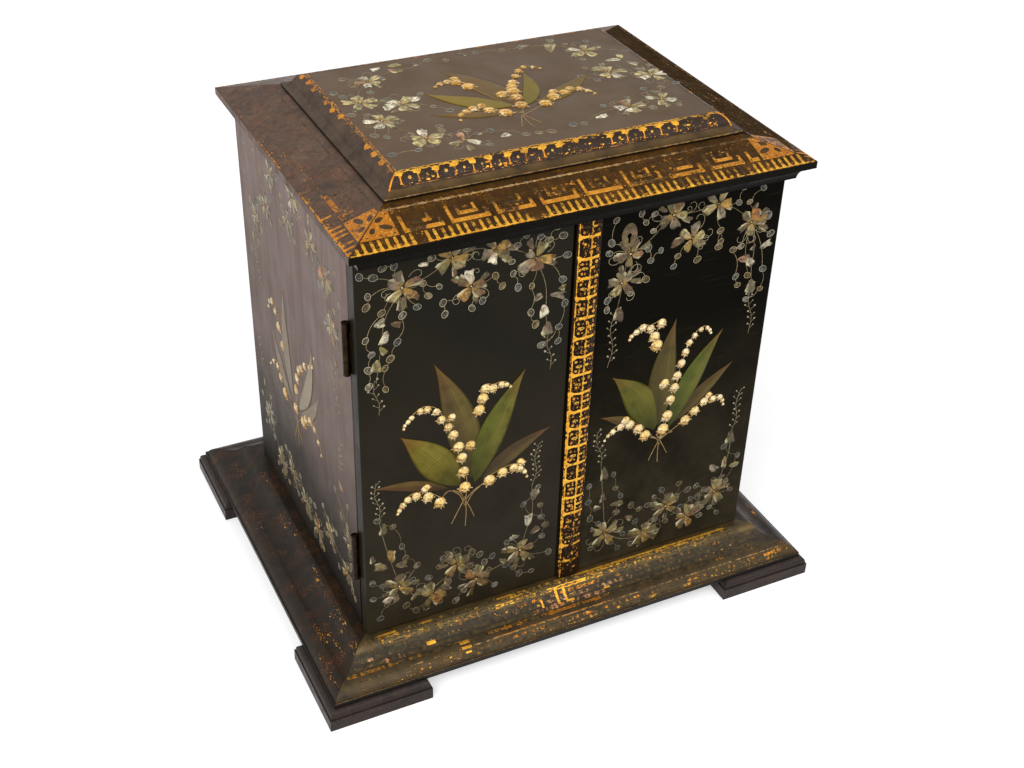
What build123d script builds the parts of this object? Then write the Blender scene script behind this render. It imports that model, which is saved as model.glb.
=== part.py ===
"""A small lacquered jewellery cabinet for a table: a lift-up lid over a divided well, two doors on outside
butt hinges, and behind them two banks of three drawers. Millimetres. X runs to the right, Y to the back and
Z up, with the origin on the table under the middle of the four feet."""
import os

from build123d import *

os.makedirs("parts", exist_ok=True)

# Feet
foot_length = 62.0
foot_height = 12.2
foot_projection = 4.2
foot_face_height = 7.6
foot_quirk = 0.8
foot_round = 3.4

# Plinth, a mitred frame of one ogee moulding round a base board
plinth_height = 17.8
plinth_rail = 43.5
plinth_side_projection = 31.5
plinth_front_projection = 28.5
plinth_back_projection = 35.6
plinth_edge = 3.0
plinth_quirk = 1.0
plinth_ovolo_width = 8.0
plinth_ovolo_height = 6.0
plinth_ovolo_swell = 1.3
plinth_cove_width = 12.0
plinth_cove_height = 6.3
plinth_cove_hollow = 1.6
plinth_bead_width = 5.0
plinth_bead_swell = 0.6
base_thickness = 8.0

# Case
case_width = 250.0
case_depth = 180.3
case_height = 245.4
side_thickness = 8.0
back_thickness = 7.0

# Doors
door_thickness = 8.0
door_foot_gap = 0.9
door_top_gap = 0.7
door_edge_round = 1.0
doors_meet_x = -4.0
meeting_gap = 0.5
astragal_width = 14.75
astragal_edge = 1.3
astragal_height = 2.8

# Cornice, a mitred frame with a sloping top round the mouth of the well
cornice_side_projection = 7.35
cornice_front_projection = 15.1
cornice_back_projection = 9.8
cornice_rail = 40.6
cornice_slope_width = 29.0
cornice_slope_rise = 8.8
cornice_edge = 4.0
cornice_cove_height = 7.7
cornice_cove_width = 5.8
cornice_cove_step = 1.2
cornice_cove_hollow = 1.5

# Lid
lid_gap = 0.5
lid_back_setback = 3.6
lid_height = 9.4
lid_moulding_width = 12.2
lid_edge = 1.6
lid_cove_width = 5.0
lid_cove_rise = 1.9
lid_cove_hollow = 0.7
lid_top_fillet = 1.2
lid_ovolo_swell = 1.1
lid_panel_thickness = 6.0
lining_drop = 4.0
lining_clearance = 1.5
lining_seat = 0.3
lining_round = 2.0

# Drawer nest
nest_setback = 10.0
nest_side_thickness = 8.0
divider_thickness = 9.0
shelf_thickness = 4.0
shelf_housing = 2.0
drawer_shares = {"bottom": 7, "middle": 6, "top": 5}

# Drawers
drawer_side_gap = 0.6
drawer_top_gap = 1.2
drawer_floor_gap = 0.3
drawer_back_gap = 4.0
drawer_front_thickness = 9.0
drawer_front_bevel = 0.8
drawer_wall = 5.0
drawer_wall_drop = 6.0
drawer_bottom_thickness = 3.0
drawer_bottom_lift = 2.0
drawer_groove = 2.0
drawer_panel_play = 0.1
dovetail_count = 4
dovetail_length = 5.5
dovetail_pin = 3.0
dovetail_spread = 1.0
glue_line = 0.05
knob_peg_radius = 1.5
knob_peg_length = 6.0
knob_peg_gap = 0.02
knob_flange_radius = 3.2
knob_flange_thickness = 1.0
knob_neck_radius = 1.7
knob_radius = 3.6
knob_length = 9.0

# Well under the lid
well_room = 29.4
well_floor_thickness = 5.0
well_wall = 5.0
top_rail_thickness = 5.0
well_divider_thickness = 3.0
well_divider_height = 22.0
well_columns = 3

# Butt hinges
leaf_thickness = 1.0
leaf_gap = 0.2
leaf_width = 7.4
barrel_radius = 2.0
barrel_clearance = 0.2
pin_radius = 0.8
pin_fixed_gap = 0.02
pin_running_gap = 0.05
knuckle_end_gap = 0.15
door_hinge_length = 31.5
door_hinge_knuckle = 8.0
door_hinge_inset = 53.0
lid_hinge_length = 28.0
lid_hinge_knuckle = 7.5
lid_hinge_inset = 42.0
lid_barrel_gap = 0.3
barrel_scoop_gap = 0.4
leaf_pocket_gap = 0.1

# Lock
keyhole_x = 28.3
keyhole_drop = 17.3
keyhole_radius = 1.4
keyhole_slot_width = 1.5
keyhole_slot_length = 4.6
escutcheon_width = 9.2
escutcheon_height = 15.0
escutcheon_thickness = 0.6
lock_width = 30.0
lock_height = 22.0
lock_depth = 7.0
lock_round = 1.2
bolt_width = 9.0
bolt_thickness = 3.0
bolt_length = 12.0
bolt_slot_depth = 15.0
bolt_side_gap = 0.15
bolt_reach = 5.5
bolt_travel = 4.5
strike_width = 22.0
strike_depth = 6.6
strike_thickness = 1.0
mortise_gap = 0.5

# Levels and planes that follow from the sizes above
plinth_top = foot_height + plinth_height
door_gap = 2 * leaf_thickness + leaf_gap
plinth_width = case_width + 2 * plinth_side_projection
plinth_depth = plinth_front_projection + door_thickness + door_gap + case_depth + plinth_back_projection
door_face = plinth_front_projection - plinth_depth / 2
door_back = door_face + door_thickness
case_front = door_back + door_gap
case_back = case_front + case_depth
case_side = case_width / 2
case_top = plinth_top + case_height
inner_side = case_side - side_thickness
back_face = case_back - back_thickness

door_bottom = plinth_top + door_foot_gap
door_top = case_top - door_top_gap
keyhole_z = door_top - keyhole_drop

cornice_front_y = door_face - cornice_front_projection
cornice_back_y = case_back + cornice_back_projection
cornice_width = case_width + 2 * cornice_side_projection
cornice_depth = cornice_back_y - cornice_front_y
cornice_middle = (cornice_front_y + cornice_back_y) / 2
cornice_top = case_top + cornice_cove_height + cornice_edge + cornice_slope_rise
mouth_x = cornice_width / 2 - cornice_rail
mouth_back = cornice_back_y - cornice_rail

lid_bottom = cornice_top + lid_gap
lid_top = lid_bottom + lid_height
lid_width = cornice_width - 2 * cornice_slope_width
lid_front_y = cornice_front_y + cornice_slope_width
lid_back_y = cornice_back_y - cornice_slope_width - lid_back_setback
lid_depth = lid_back_y - lid_front_y
lid_middle = (lid_front_y + lid_back_y) / 2

nest_front = case_front + nest_setback
nest_inner = inner_side - nest_side_thickness
nest_depth = back_face - nest_front
nest_middle = (back_face + nest_front) / 2
nest_top = case_top - well_room
nest_height = nest_top - plinth_top
drawer_room = nest_height - (len(drawer_shares) - 1) * shelf_thickness
share_height = drawer_room / sum(drawer_shares.values())
drawer_openings = {row: share * share_height for row, share in drawer_shares.items()}
well_floor_top = nest_top + well_floor_thickness
bank_width = nest_inner - divider_thickness / 2
bank_middle = (nest_inner + divider_thickness / 2) / 2

barrel_offset = barrel_radius + barrel_clearance
door_axis_x = case_side + barrel_offset
door_axis_y = (door_back + case_front) / 2
door_hinge_heights = (door_bottom + door_hinge_inset, door_top - door_hinge_inset)
lid_axis_y = lid_back_y + barrel_radius + lid_barrel_gap
lid_axis_z = (cornice_top + lid_bottom) / 2
lid_hinge_places = (lid_hinge_inset - lid_width / 2, lid_width / 2 - lid_hinge_inset)

# Outward directions of the four sides of a frame
outward = {"front": (0, -1), "right": (1, 0), "back": (0, 1), "left": (-1, 0)}


def mitred_rail(section, side, width, depth, middle, height):
    """One side of a rectangular frame, mitred at both ends. The section's X runs inward from the frame's
    outer edge and its Y runs up from the given height."""
    out_x, out_y = outward[side]
    inward = Vector(-out_x, -out_y, 0)
    along = Vector(-out_y, out_x, 0)
    reach = depth / 2 if out_y else width / 2
    half_run = width / 2 if out_y else depth / 2
    centre = Vector(out_x * reach, middle + out_y * reach, height)
    with BuildPart(mode=Mode.PRIVATE) as rail:
        with BuildSketch(Plane(origin=centre, x_dir=inward, z_dir=along)):
            add(section)
        extrude(amount=half_run, both=True)
        for end in (along, along * -1):
            split(bisect_by=Plane(origin=centre + end * half_run, z_dir=end + inward), keep=Keep.BOTTOM)
    return rail.part


def hinge_leaf(plane, face, length, outer_knuckle, outer):
    """A butt hinge's leaf. The plane lies across the pin at the hinge's middle, with its X towards the
    leaf's far edge. The leaf lies on the side of the pin that face gives, 1 or -1 along the plane's Y.
    It has the two outer knuckles, or the one between them."""
    half = length / 2
    inner = half - outer_knuckle
    if outer:
        spans = ((-half, -inner), (inner, half))
        bore = pin_radius + pin_fixed_gap
    else:
        spans = ((knuckle_end_gap - inner, inner - knuckle_end_gap),)
        bore = pin_radius + pin_running_gap
    leaf_middle = face * (leaf_gap + leaf_thickness) / 2
    with BuildPart(mode=Mode.PRIVATE) as leaf:
        with BuildSketch(plane.offset(-half)):
            with Locations((barrel_offset, leaf_middle)):
                Rectangle(leaf_width, leaf_thickness, align=(Align.MIN, Align.CENTER))
        extrude(amount=length)
        for low, high in spans:
            with BuildSketch(plane.offset(low)):
                Circle(barrel_radius)
                with Locations((0, leaf_middle)):
                    Rectangle(barrel_offset, leaf_thickness, align=(Align.MIN, Align.CENTER))
                Circle(bore, mode=Mode.SUBTRACT)
            extrude(amount=high - low)
    return leaf.part


def hinge_pin(plane, length):
    """The plain pin of a butt hinge, as long as its knuckles together."""
    with BuildPart(mode=Mode.PRIVATE) as pin:
        with BuildSketch(plane.offset(-length / 2)):
            Circle(pin_radius)
        extrude(amount=length)
    return pin.part


def door_hinge_plane(hand, height):
    """Across a door hinge's pin: X towards the middle of the cabinet, Z up or down the pin."""
    return Plane(origin=(hand * door_axis_x, door_axis_y, height), x_dir=(-hand, 0, 0), z_dir=(0, 0, -hand))


def lid_hinge_plane(place):
    """Across a lid hinge's pin: X towards the front, Y up."""
    return Plane(origin=(place, lid_axis_y, lid_axis_z), x_dir=(0, -1, 0), z_dir=(-1, 0, 0))


def dovetails(wall_middle, root_y, bottom, height):
    """The tails that one side of a drawer has on its front end. They widen from the root towards the front,
    and the front board has its sockets cut by the same shape."""
    pitch = height / dovetail_count
    half_root = (pitch - dovetail_pin) / 2
    half_tip = half_root + dovetail_spread
    middle = (wall_middle, root_y, bottom + height / 2)
    with BuildPart(mode=Mode.PRIVATE) as tails:
        with BuildSketch(Plane(origin=middle, x_dir=(0, -1, 0), z_dir=(1, 0, 0))):
            with GridLocations(1, pitch, 1, dovetail_count):
                Polygon((0, -half_root), (dovetail_length, -half_tip), (dovetail_length, half_tip),
                        (0, half_root), align=None)
        extrude(amount=drawer_wall / 2, both=True)
    return tails.part


# Section of the plinth: edge, ovolo, cove and a bead at the foot of the case
ovolo_end = (plinth_quirk + plinth_ovolo_width, plinth_edge + plinth_ovolo_height)
cove_end = (ovolo_end[0] + plinth_cove_width, ovolo_end[1] + plinth_cove_height)
bead_end = (cove_end[0] + plinth_bead_width, plinth_height)
with BuildSketch() as plinth_section:
    with BuildLine():
        Polyline(bead_end, (plinth_rail, plinth_height), (plinth_rail, 0), (0, 0), (0, plinth_edge),
                 (plinth_quirk, plinth_edge))
        SagittaArc((plinth_quirk, plinth_edge), ovolo_end, plinth_ovolo_swell)
        SagittaArc(ovolo_end, cove_end, -plinth_cove_hollow)
        SagittaArc(cove_end, bead_end, plinth_bead_swell)
    make_face()

# Section of the cornice: cove below, square edge, long slope and the flat that the lid shuts over
cornice_shoulder = cornice_cove_height + cornice_edge
cornice_section_top = cornice_shoulder + cornice_slope_rise
with BuildSketch() as cornice_section:
    with BuildLine():
        Polyline((cornice_cove_step, cornice_cove_height), (0, cornice_cove_height), (0, cornice_shoulder),
                 (cornice_slope_width, cornice_section_top), (cornice_rail, cornice_section_top),
                 (cornice_rail, 0), (cornice_cove_step + cornice_cove_width, 0))
        SagittaArc((cornice_cove_step + cornice_cove_width, 0), (cornice_cove_step, cornice_cove_height),
                   -cornice_cove_hollow)
    make_face()

# Section of the lid's moulding: edge, shallow cove, ovolo and a narrow flat against the panel
lid_cove_end = (lid_cove_width, lid_edge + lid_cove_rise)
lid_ovolo_end = (lid_moulding_width - lid_top_fillet, lid_height)
with BuildSketch() as lid_section:
    with BuildLine():
        Polyline(lid_ovolo_end, (lid_moulding_width, lid_height), (lid_moulding_width, 0), (0, 0),
                 (0, lid_edge))
        SagittaArc((0, lid_edge), lid_cove_end, -lid_cove_hollow)
        SagittaArc(lid_cove_end, lid_ovolo_end, lid_ovolo_swell)
    make_face()

# Feet: square blocks with a quirked ovolo, one under each corner of the plinth
foot_x = plinth_width / 2 + foot_projection - foot_length / 2
foot_y = plinth_depth / 2 + foot_projection - foot_length / 2
for end, y_sign in (("front", -1), ("back", 1)):
    for hand, x_sign in (("left", -1), ("right", 1)):
        with BuildPart() as foot:
            with BuildSketch():
                with Locations((x_sign * foot_x, y_sign * foot_y)):
                    Rectangle(foot_length, foot_length)
            extrude(amount=foot_face_height)
            with BuildSketch(Plane.XY.offset(foot_face_height)):
                with Locations((x_sign * foot_x, y_sign * foot_y)):
                    Rectangle(foot_length - 2 * foot_quirk, foot_length - 2 * foot_quirk)
            extrude(amount=foot_height - foot_face_height)
            fillet(foot.faces().sort_by(Axis.Z)[-1].edges(), foot_round)
        foot.part.label = f"foot_{end}_{hand}"
        export_step(foot.part, f"parts/foot_{end}_{hand}.step")

# Plinth rails
for side in outward:
    with BuildPart() as plinth:
        add(mitred_rail(plinth_section.sketch, side, plinth_width, plinth_depth, 0, foot_height))
    plinth.part.label = f"plinth_{side}"
    export_step(plinth.part, f"parts/plinth_{side}.step")

# Base board, let in between the plinth rails
with BuildPart() as base_board:
    with BuildSketch(Plane.XY.offset(plinth_top - base_thickness)):
        Rectangle(plinth_width - 2 * plinth_rail, plinth_depth - 2 * plinth_rail)
    extrude(amount=base_thickness)
base_board.part.label = "base_board"
export_step(base_board.part, "parts/base_board.step")

# Case sides
for hand, x_sign in (("left", -1), ("right", 1)):
    with BuildPart() as case_side_board:
        with BuildSketch(Plane.XY.offset(plinth_top)):
            with Locations((x_sign * (case_side - side_thickness / 2), (case_front + case_back) / 2)):
                Rectangle(side_thickness, case_depth)
        extrude(amount=case_height)
    case_side_board.part.label = f"case_side_{hand}"
    export_step(case_side_board.part, f"parts/case_side_{hand}.step")

# Back panel, between the sides
with BuildPart() as back_panel:
    with BuildSketch(Plane.XY.offset(plinth_top)):
        with Locations((0, case_back - back_thickness / 2)):
            Rectangle(2 * inner_side, back_thickness)
    extrude(amount=case_height)
back_panel.part.label = "back_panel"
export_step(back_panel.part, "parts/back_panel.step")

# Floor levels of the drawer rows, from the bottom up
row_floors = {}
floor = plinth_top
for row, opening in drawer_openings.items():
    row_floors[row] = floor
    floor += opening + shelf_thickness
shelf_levels = [level - shelf_thickness for row, level in row_floors.items() if row != "bottom"]

# Nest sides and centre divider, housed for the shelves
housing_x = nest_inner + shelf_housing / 2
for hand, x_sign in (("left", -1), ("right", 1)):
    with BuildPart() as nest_side:
        with BuildSketch(Plane.XY.offset(plinth_top)):
            with Locations((x_sign * (inner_side - nest_side_thickness / 2), nest_middle)):
                Rectangle(nest_side_thickness, nest_depth)
        extrude(amount=nest_height)
        for level in shelf_levels:
            with BuildSketch(Plane.XY.offset(level)):
                with Locations((x_sign * housing_x, nest_middle)):
                    Rectangle(shelf_housing, nest_depth)
            extrude(amount=shelf_thickness, mode=Mode.SUBTRACT)
    nest_side.part.label = f"nest_side_{hand}"
    export_step(nest_side.part, f"parts/nest_side_{hand}.step")

with BuildPart() as centre_divider:
    with BuildSketch(Plane.XY.offset(plinth_top)):
        with Locations((0, nest_middle)):
            Rectangle(divider_thickness, nest_depth)
    extrude(amount=nest_height)
    for level in shelf_levels:
        with BuildSketch(Plane.XY.offset(level)):
            with Locations((0, nest_middle)):
                Rectangle(divider_thickness, nest_depth)
                Rectangle(divider_thickness - 2 * shelf_housing, nest_depth, mode=Mode.SUBTRACT)
        extrude(amount=shelf_thickness, mode=Mode.SUBTRACT)
centre_divider.part.label = "centre_divider"
export_step(centre_divider.part, "parts/centre_divider.step")

# Shelves under the middle and top drawers of both banks
with BuildPart() as drawer_shelves:
    for level in shelf_levels:
        with BuildSketch(Plane.XY.offset(level)):
            with Locations((-bank_middle, nest_middle), (bank_middle, nest_middle)):
                Rectangle(bank_width + 2 * shelf_housing, nest_depth)
        extrude(amount=shelf_thickness)
drawer_shelves.part.label = "drawer_shelves"
export_step(drawer_shelves.part, "parts/drawer_shelves.step")

# Top rail above the drawers, the front wall of the well
with BuildPart() as top_rail:
    with BuildSketch(Plane.XY.offset(nest_top)):
        with Locations((0, nest_front + top_rail_thickness / 2)):
            Rectangle(2 * inner_side, top_rail_thickness)
    extrude(amount=case_top - nest_top)
top_rail.part.label = "top_rail"
export_step(top_rail.part, "parts/top_rail.step")

# Well floor, on the nest and behind the top rail
well_floor_front = nest_front + top_rail_thickness
with BuildPart() as well_floor:
    with BuildSketch(Plane.XY.offset(nest_top)):
        with Locations((0, (well_floor_front + back_face) / 2)):
            Rectangle(2 * inner_side, back_face - well_floor_front)
    extrude(amount=well_floor_thickness)
well_floor.part.label = "well_floor"
export_step(well_floor.part, "parts/well_floor.step")

# Well walls at the left, right and back, flush with the mouth in the cornice
well_wall_height = case_top - well_floor_top
with BuildPart() as well_walls:
    with BuildSketch(Plane.XY.offset(well_floor_top)):
        with Locations((-mouth_x - well_wall, well_floor_front), (mouth_x, well_floor_front)):
            Rectangle(well_wall, mouth_back - well_floor_front, align=(Align.MIN, Align.MIN))
        with Locations((0, mouth_back + glue_line)):
            Rectangle(2 * (mouth_x + well_wall), well_wall, align=(Align.CENTER, Align.MIN))
    extrude(amount=well_wall_height)
well_walls.part.label = "well_walls"
export_step(well_walls.part, "parts/well_walls.step")

# Well dividers: one long strip, and short ones on both sides of it
well_middle = (well_floor_front + mouth_back) / 2
well_depth = mouth_back - well_floor_front
well_cell_depth = (well_depth - well_divider_thickness) / 2
well_cell_width = (2 * mouth_x - (well_columns - 1) * well_divider_thickness) / well_columns
with BuildPart() as well_dividers:
    with BuildSketch(Plane.XY.offset(well_floor_top)):
        with Locations((0, well_middle)):
            Rectangle(2 * mouth_x, well_divider_thickness)
    extrude(amount=well_divider_height)
    with BuildSketch(Plane.XY.offset(well_floor_top)):
        for y_sign in (-1, 1):
            with Locations((0, well_middle + y_sign * (well_divider_thickness + well_cell_depth) / 2)):
                with GridLocations(well_cell_width + well_divider_thickness, 1, well_columns - 1, 1):
                    Rectangle(well_divider_thickness, well_cell_depth - 2 * glue_line)
    extrude(amount=well_divider_height)
well_dividers.part.label = "well_dividers"
export_step(well_dividers.part, "parts/well_dividers.step")

# Cornice rails at the sides
for side in ("left", "right"):
    with BuildPart() as cornice:
        add(mitred_rail(cornice_section.sketch, side, cornice_width, cornice_depth, cornice_middle, case_top))
    cornice.part.label = f"cornice_{side}"
    export_step(cornice.part, f"parts/cornice_{side}.step")

# Front rail of the cornice, with a seat for the strike and a mortise for the bolt above it
bolt_y = door_back + lock_depth / 2
strike_y = max(bolt_y, door_back + strike_depth / 2)
mortise_width = bolt_width + 2 * mortise_gap
mortise_depth = bolt_thickness + 2 * mortise_gap
mortise_height = bolt_travel
with BuildPart() as cornice_front:
    add(mitred_rail(cornice_section.sketch, "front", cornice_width, cornice_depth, cornice_middle, case_top))
    with BuildSketch(Plane.XY.offset(case_top)):
        with Locations((keyhole_x, strike_y)):
            Rectangle(strike_width, strike_depth)
    extrude(amount=strike_thickness, mode=Mode.SUBTRACT)
    with BuildSketch(Plane.XY.offset(case_top)):
        with Locations((keyhole_x, bolt_y)):
            Rectangle(mortise_width, mortise_depth)
    extrude(amount=strike_thickness + mortise_height, mode=Mode.SUBTRACT)
cornice_front.part.label = "cornice_front"
export_step(cornice_front.part, "parts/cornice_front.step")

# Strike plate in the front rail
with BuildPart() as lock_strike:
    with BuildSketch(Plane.XY.offset(case_top)):
        with Locations((keyhole_x, strike_y)):
            Rectangle(strike_width, strike_depth)
        with Locations((keyhole_x, bolt_y)):
            Rectangle(mortise_width, mortise_depth, mode=Mode.SUBTRACT)
    extrude(amount=strike_thickness)
lock_strike.part.label = "lock_strike"
export_step(lock_strike.part, "parts/lock_strike.step")

# Back rail of the cornice, with pockets for the lid hinges' lower leaves and scoops for their barrels
lid_pocket_length = lid_hinge_length + 2 * leaf_pocket_gap
lid_leaf_far = lid_axis_y - barrel_offset - leaf_width - leaf_pocket_gap
with BuildPart() as cornice_back:
    add(mitred_rail(cornice_section.sketch, "back", cornice_width, cornice_depth, cornice_middle, case_top))
    for place in lid_hinge_places:
        hinge_plane = lid_hinge_plane(place)
        with BuildSketch(hinge_plane.offset(-lid_pocket_length / 2)):
            Circle(barrel_radius + barrel_scoop_gap)
            with Locations((0, -leaf_gap / 2)):
                Rectangle(lid_axis_y - lid_leaf_far, leaf_thickness, align=(Align.MIN, Align.MAX))
        extrude(amount=lid_pocket_length, mode=Mode.SUBTRACT)
cornice_back.part.label = "cornice_back"
export_step(cornice_back.part, "parts/cornice_back.step")

# Left door
left_door_left = -case_side
left_door_right = doors_meet_x - meeting_gap / 2
door_height = door_top - door_bottom
with BuildPart() as door_panel_left:
    with BuildSketch(Plane.XZ.offset(-door_back)):
        with Locations((left_door_left, door_bottom)):
            Rectangle(left_door_right - left_door_left, door_height, align=(Align.MIN, Align.MIN))
    extrude(amount=door_thickness)
    fillet(door_panel_left.faces().sort_by(Axis.Y)[0].edges(), door_edge_round)
door_panel_left.part.label = "door_panel_left"
export_step(door_panel_left.part, "parts/door_panel_left.step")

# Keyhole, the same in the escutcheon, the door and the lock
with BuildSketch() as keyhole:
    Circle(keyhole_radius)
    Rectangle(keyhole_slot_width, keyhole_slot_length, align=(Align.CENTER, Align.MAX))

# Right door
right_door_left = doors_meet_x + meeting_gap / 2
keyhole_plane = Plane(origin=(keyhole_x, door_back, keyhole_z), x_dir=(1, 0, 0), z_dir=(0, -1, 0))
with BuildPart() as door_panel_right:
    with BuildSketch(Plane.XZ.offset(-door_back)):
        with Locations((right_door_left, door_bottom)):
            Rectangle(case_side - right_door_left, door_height, align=(Align.MIN, Align.MIN))
    extrude(amount=door_thickness)
    fillet(door_panel_right.faces().sort_by(Axis.Y)[0].edges(), door_edge_round)
    with BuildSketch(keyhole_plane):
        add(keyhole.sketch)
    extrude(amount=door_thickness, mode=Mode.SUBTRACT)
door_panel_right.part.label = "door_panel_right"
export_step(door_panel_right.part, "parts/door_panel_right.step")

# Astragal, a rounded strip along the right door's meeting edge
with BuildPart() as astragal:
    with BuildSketch(Plane(origin=(right_door_left, door_face, door_bottom), x_dir=(1, 0, 0))):
        with BuildLine():
            Polyline((0, -astragal_edge), (0, 0), (astragal_width, 0), (astragal_width, -astragal_edge))
            ThreePointArc((astragal_width, -astragal_edge), (astragal_width / 2, -astragal_height),
                          (0, -astragal_edge))
        make_face()
    extrude(amount=door_height)
astragal.part.label = "astragal"
export_step(astragal.part, "parts/astragal.step")

# Escutcheon
with BuildPart() as escutcheon:
    with BuildSketch(keyhole_plane.offset(door_thickness)):
        Ellipse(escutcheon_width / 2, escutcheon_height / 2)
        add(keyhole.sketch, mode=Mode.SUBTRACT)
    extrude(amount=escutcheon_thickness)
escutcheon.part.label = "escutcheon"
export_step(escutcheon.part, "parts/escutcheon.step")

# Lock case on the back of the right door, with the bolt's slot open at its top
lock_middle_z = keyhole_z
lock_top = lock_middle_z + lock_height / 2
with BuildPart() as lock_case:
    with BuildSketch(keyhole_plane):
        Rectangle(lock_width, lock_height)
    extrude(amount=-lock_depth)
    fillet(lock_case.edges().filter_by(Axis.Y), lock_round)
    with BuildSketch(keyhole_plane):
        add(keyhole.sketch)
    extrude(amount=-(lock_depth - bolt_thickness) / 2, mode=Mode.SUBTRACT)
    with BuildSketch(Plane.XY.offset(lock_top)):
        with Locations((keyhole_x, bolt_y)):
            Rectangle(bolt_width + 2 * bolt_side_gap, bolt_thickness + 2 * bolt_side_gap)
    extrude(amount=-bolt_slot_depth, mode=Mode.SUBTRACT)
lock_case.part.label = "lock_case"
export_step(lock_case.part, "parts/lock_case.step")

# Bolt, drawn down to unlock
with BuildPart() as lock_bolt:
    with BuildSketch(Plane.XY.offset(lock_top + bolt_reach)):
        with Locations((keyhole_x, bolt_y)):
            Rectangle(bolt_width, bolt_thickness)
    extrude(amount=-bolt_length)
lock_bolt.part.label = "lock_bolt"
export_step(lock_bolt.part, "parts/lock_bolt.step")

# Hinge leaves and pins. The outer knuckles are on the case, for the doors and the lid alike
with BuildPart() as hinge_leaves_case:
    for x_sign in (-1, 1):
        for height in door_hinge_heights:
            add(hinge_leaf(door_hinge_plane(x_sign, height), 1, door_hinge_length, door_hinge_knuckle, True))
    for place in lid_hinge_places:
        add(hinge_leaf(lid_hinge_plane(place), -1, lid_hinge_length, lid_hinge_knuckle, True))
hinge_leaves_case.part.label = "hinge_leaves_case"
export_step(hinge_leaves_case.part, "parts/hinge_leaves_case.step")

with BuildPart() as hinge_pins:
    for x_sign in (-1, 1):
        for height in door_hinge_heights:
            add(hinge_pin(door_hinge_plane(x_sign, height), door_hinge_length))
    for place in lid_hinge_places:
        add(hinge_pin(lid_hinge_plane(place), lid_hinge_length))
hinge_pins.part.label = "hinge_pins"
export_step(hinge_pins.part, "parts/hinge_pins.step")

for hand, x_sign in (("left", -1), ("right", 1)):
    with BuildPart() as door_leaves:
        for height in door_hinge_heights:
            hinge_plane = door_hinge_plane(x_sign, height)
            add(hinge_leaf(hinge_plane, -1, door_hinge_length, door_hinge_knuckle, False))
    door_leaves.part.label = f"hinge_leaves_door_{hand}"
    export_step(door_leaves.part, f"parts/hinge_leaves_door_{hand}.step")

with BuildPart() as hinge_leaves_lid:
    for place in lid_hinge_places:
        add(hinge_leaf(lid_hinge_plane(place), 1, lid_hinge_length, lid_hinge_knuckle, False))
hinge_leaves_lid.part.label = "hinge_leaves_lid"
export_step(hinge_leaves_lid.part, "parts/hinge_leaves_lid.step")

# Lid mouldings, the back one pocketed for the hinges' upper leaves
for side in outward:
    with BuildPart() as lid_moulding:
        add(mitred_rail(lid_section.sketch, side, lid_width, lid_depth, lid_middle, lid_bottom))
        if side == "back":
            for place in lid_hinge_places:
                with BuildSketch(lid_hinge_plane(place).offset(-lid_pocket_length / 2)):
                    with Locations((0, leaf_gap / 2)):
                        Rectangle(lid_axis_y - lid_leaf_far, leaf_thickness, align=(Align.MIN, Align.MIN))
                extrude(amount=lid_pocket_length, mode=Mode.SUBTRACT)
    lid_moulding.part.label = f"lid_moulding_{side}"
    export_step(lid_moulding.part, f"parts/lid_moulding_{side}.step")

# Lid panel, level with the top of the mouldings
with BuildPart() as lid_panel:
    with BuildSketch(Plane.XY.offset(lid_top)):
        with Locations((0, lid_middle)):
            Rectangle(lid_width - 2 * lid_moulding_width, lid_depth - 2 * lid_moulding_width)
    extrude(amount=-lid_panel_thickness)
lid_panel.part.label = "lid_panel"
export_step(lid_panel.part, "parts/lid_panel.step")

# Padded lining under the lid panel
lining_inset = 2 * (lid_moulding_width + lining_clearance)
lining_top = lid_top - lid_panel_thickness - lining_seat
with BuildPart() as lid_lining:
    with BuildSketch(Plane.XY.offset(lining_top)):
        with Locations((0, lid_middle)):
            RectangleRounded(lid_width - lining_inset, lid_depth - lining_inset, lining_round)
    extrude(amount=lid_bottom - lining_drop - lining_top)
    fillet(lid_lining.faces().sort_by(Axis.Z)[0].edges(), lining_round)
lid_lining.part.label = "lid_lining"
export_step(lid_lining.part, "parts/lid_lining.step")

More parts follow.
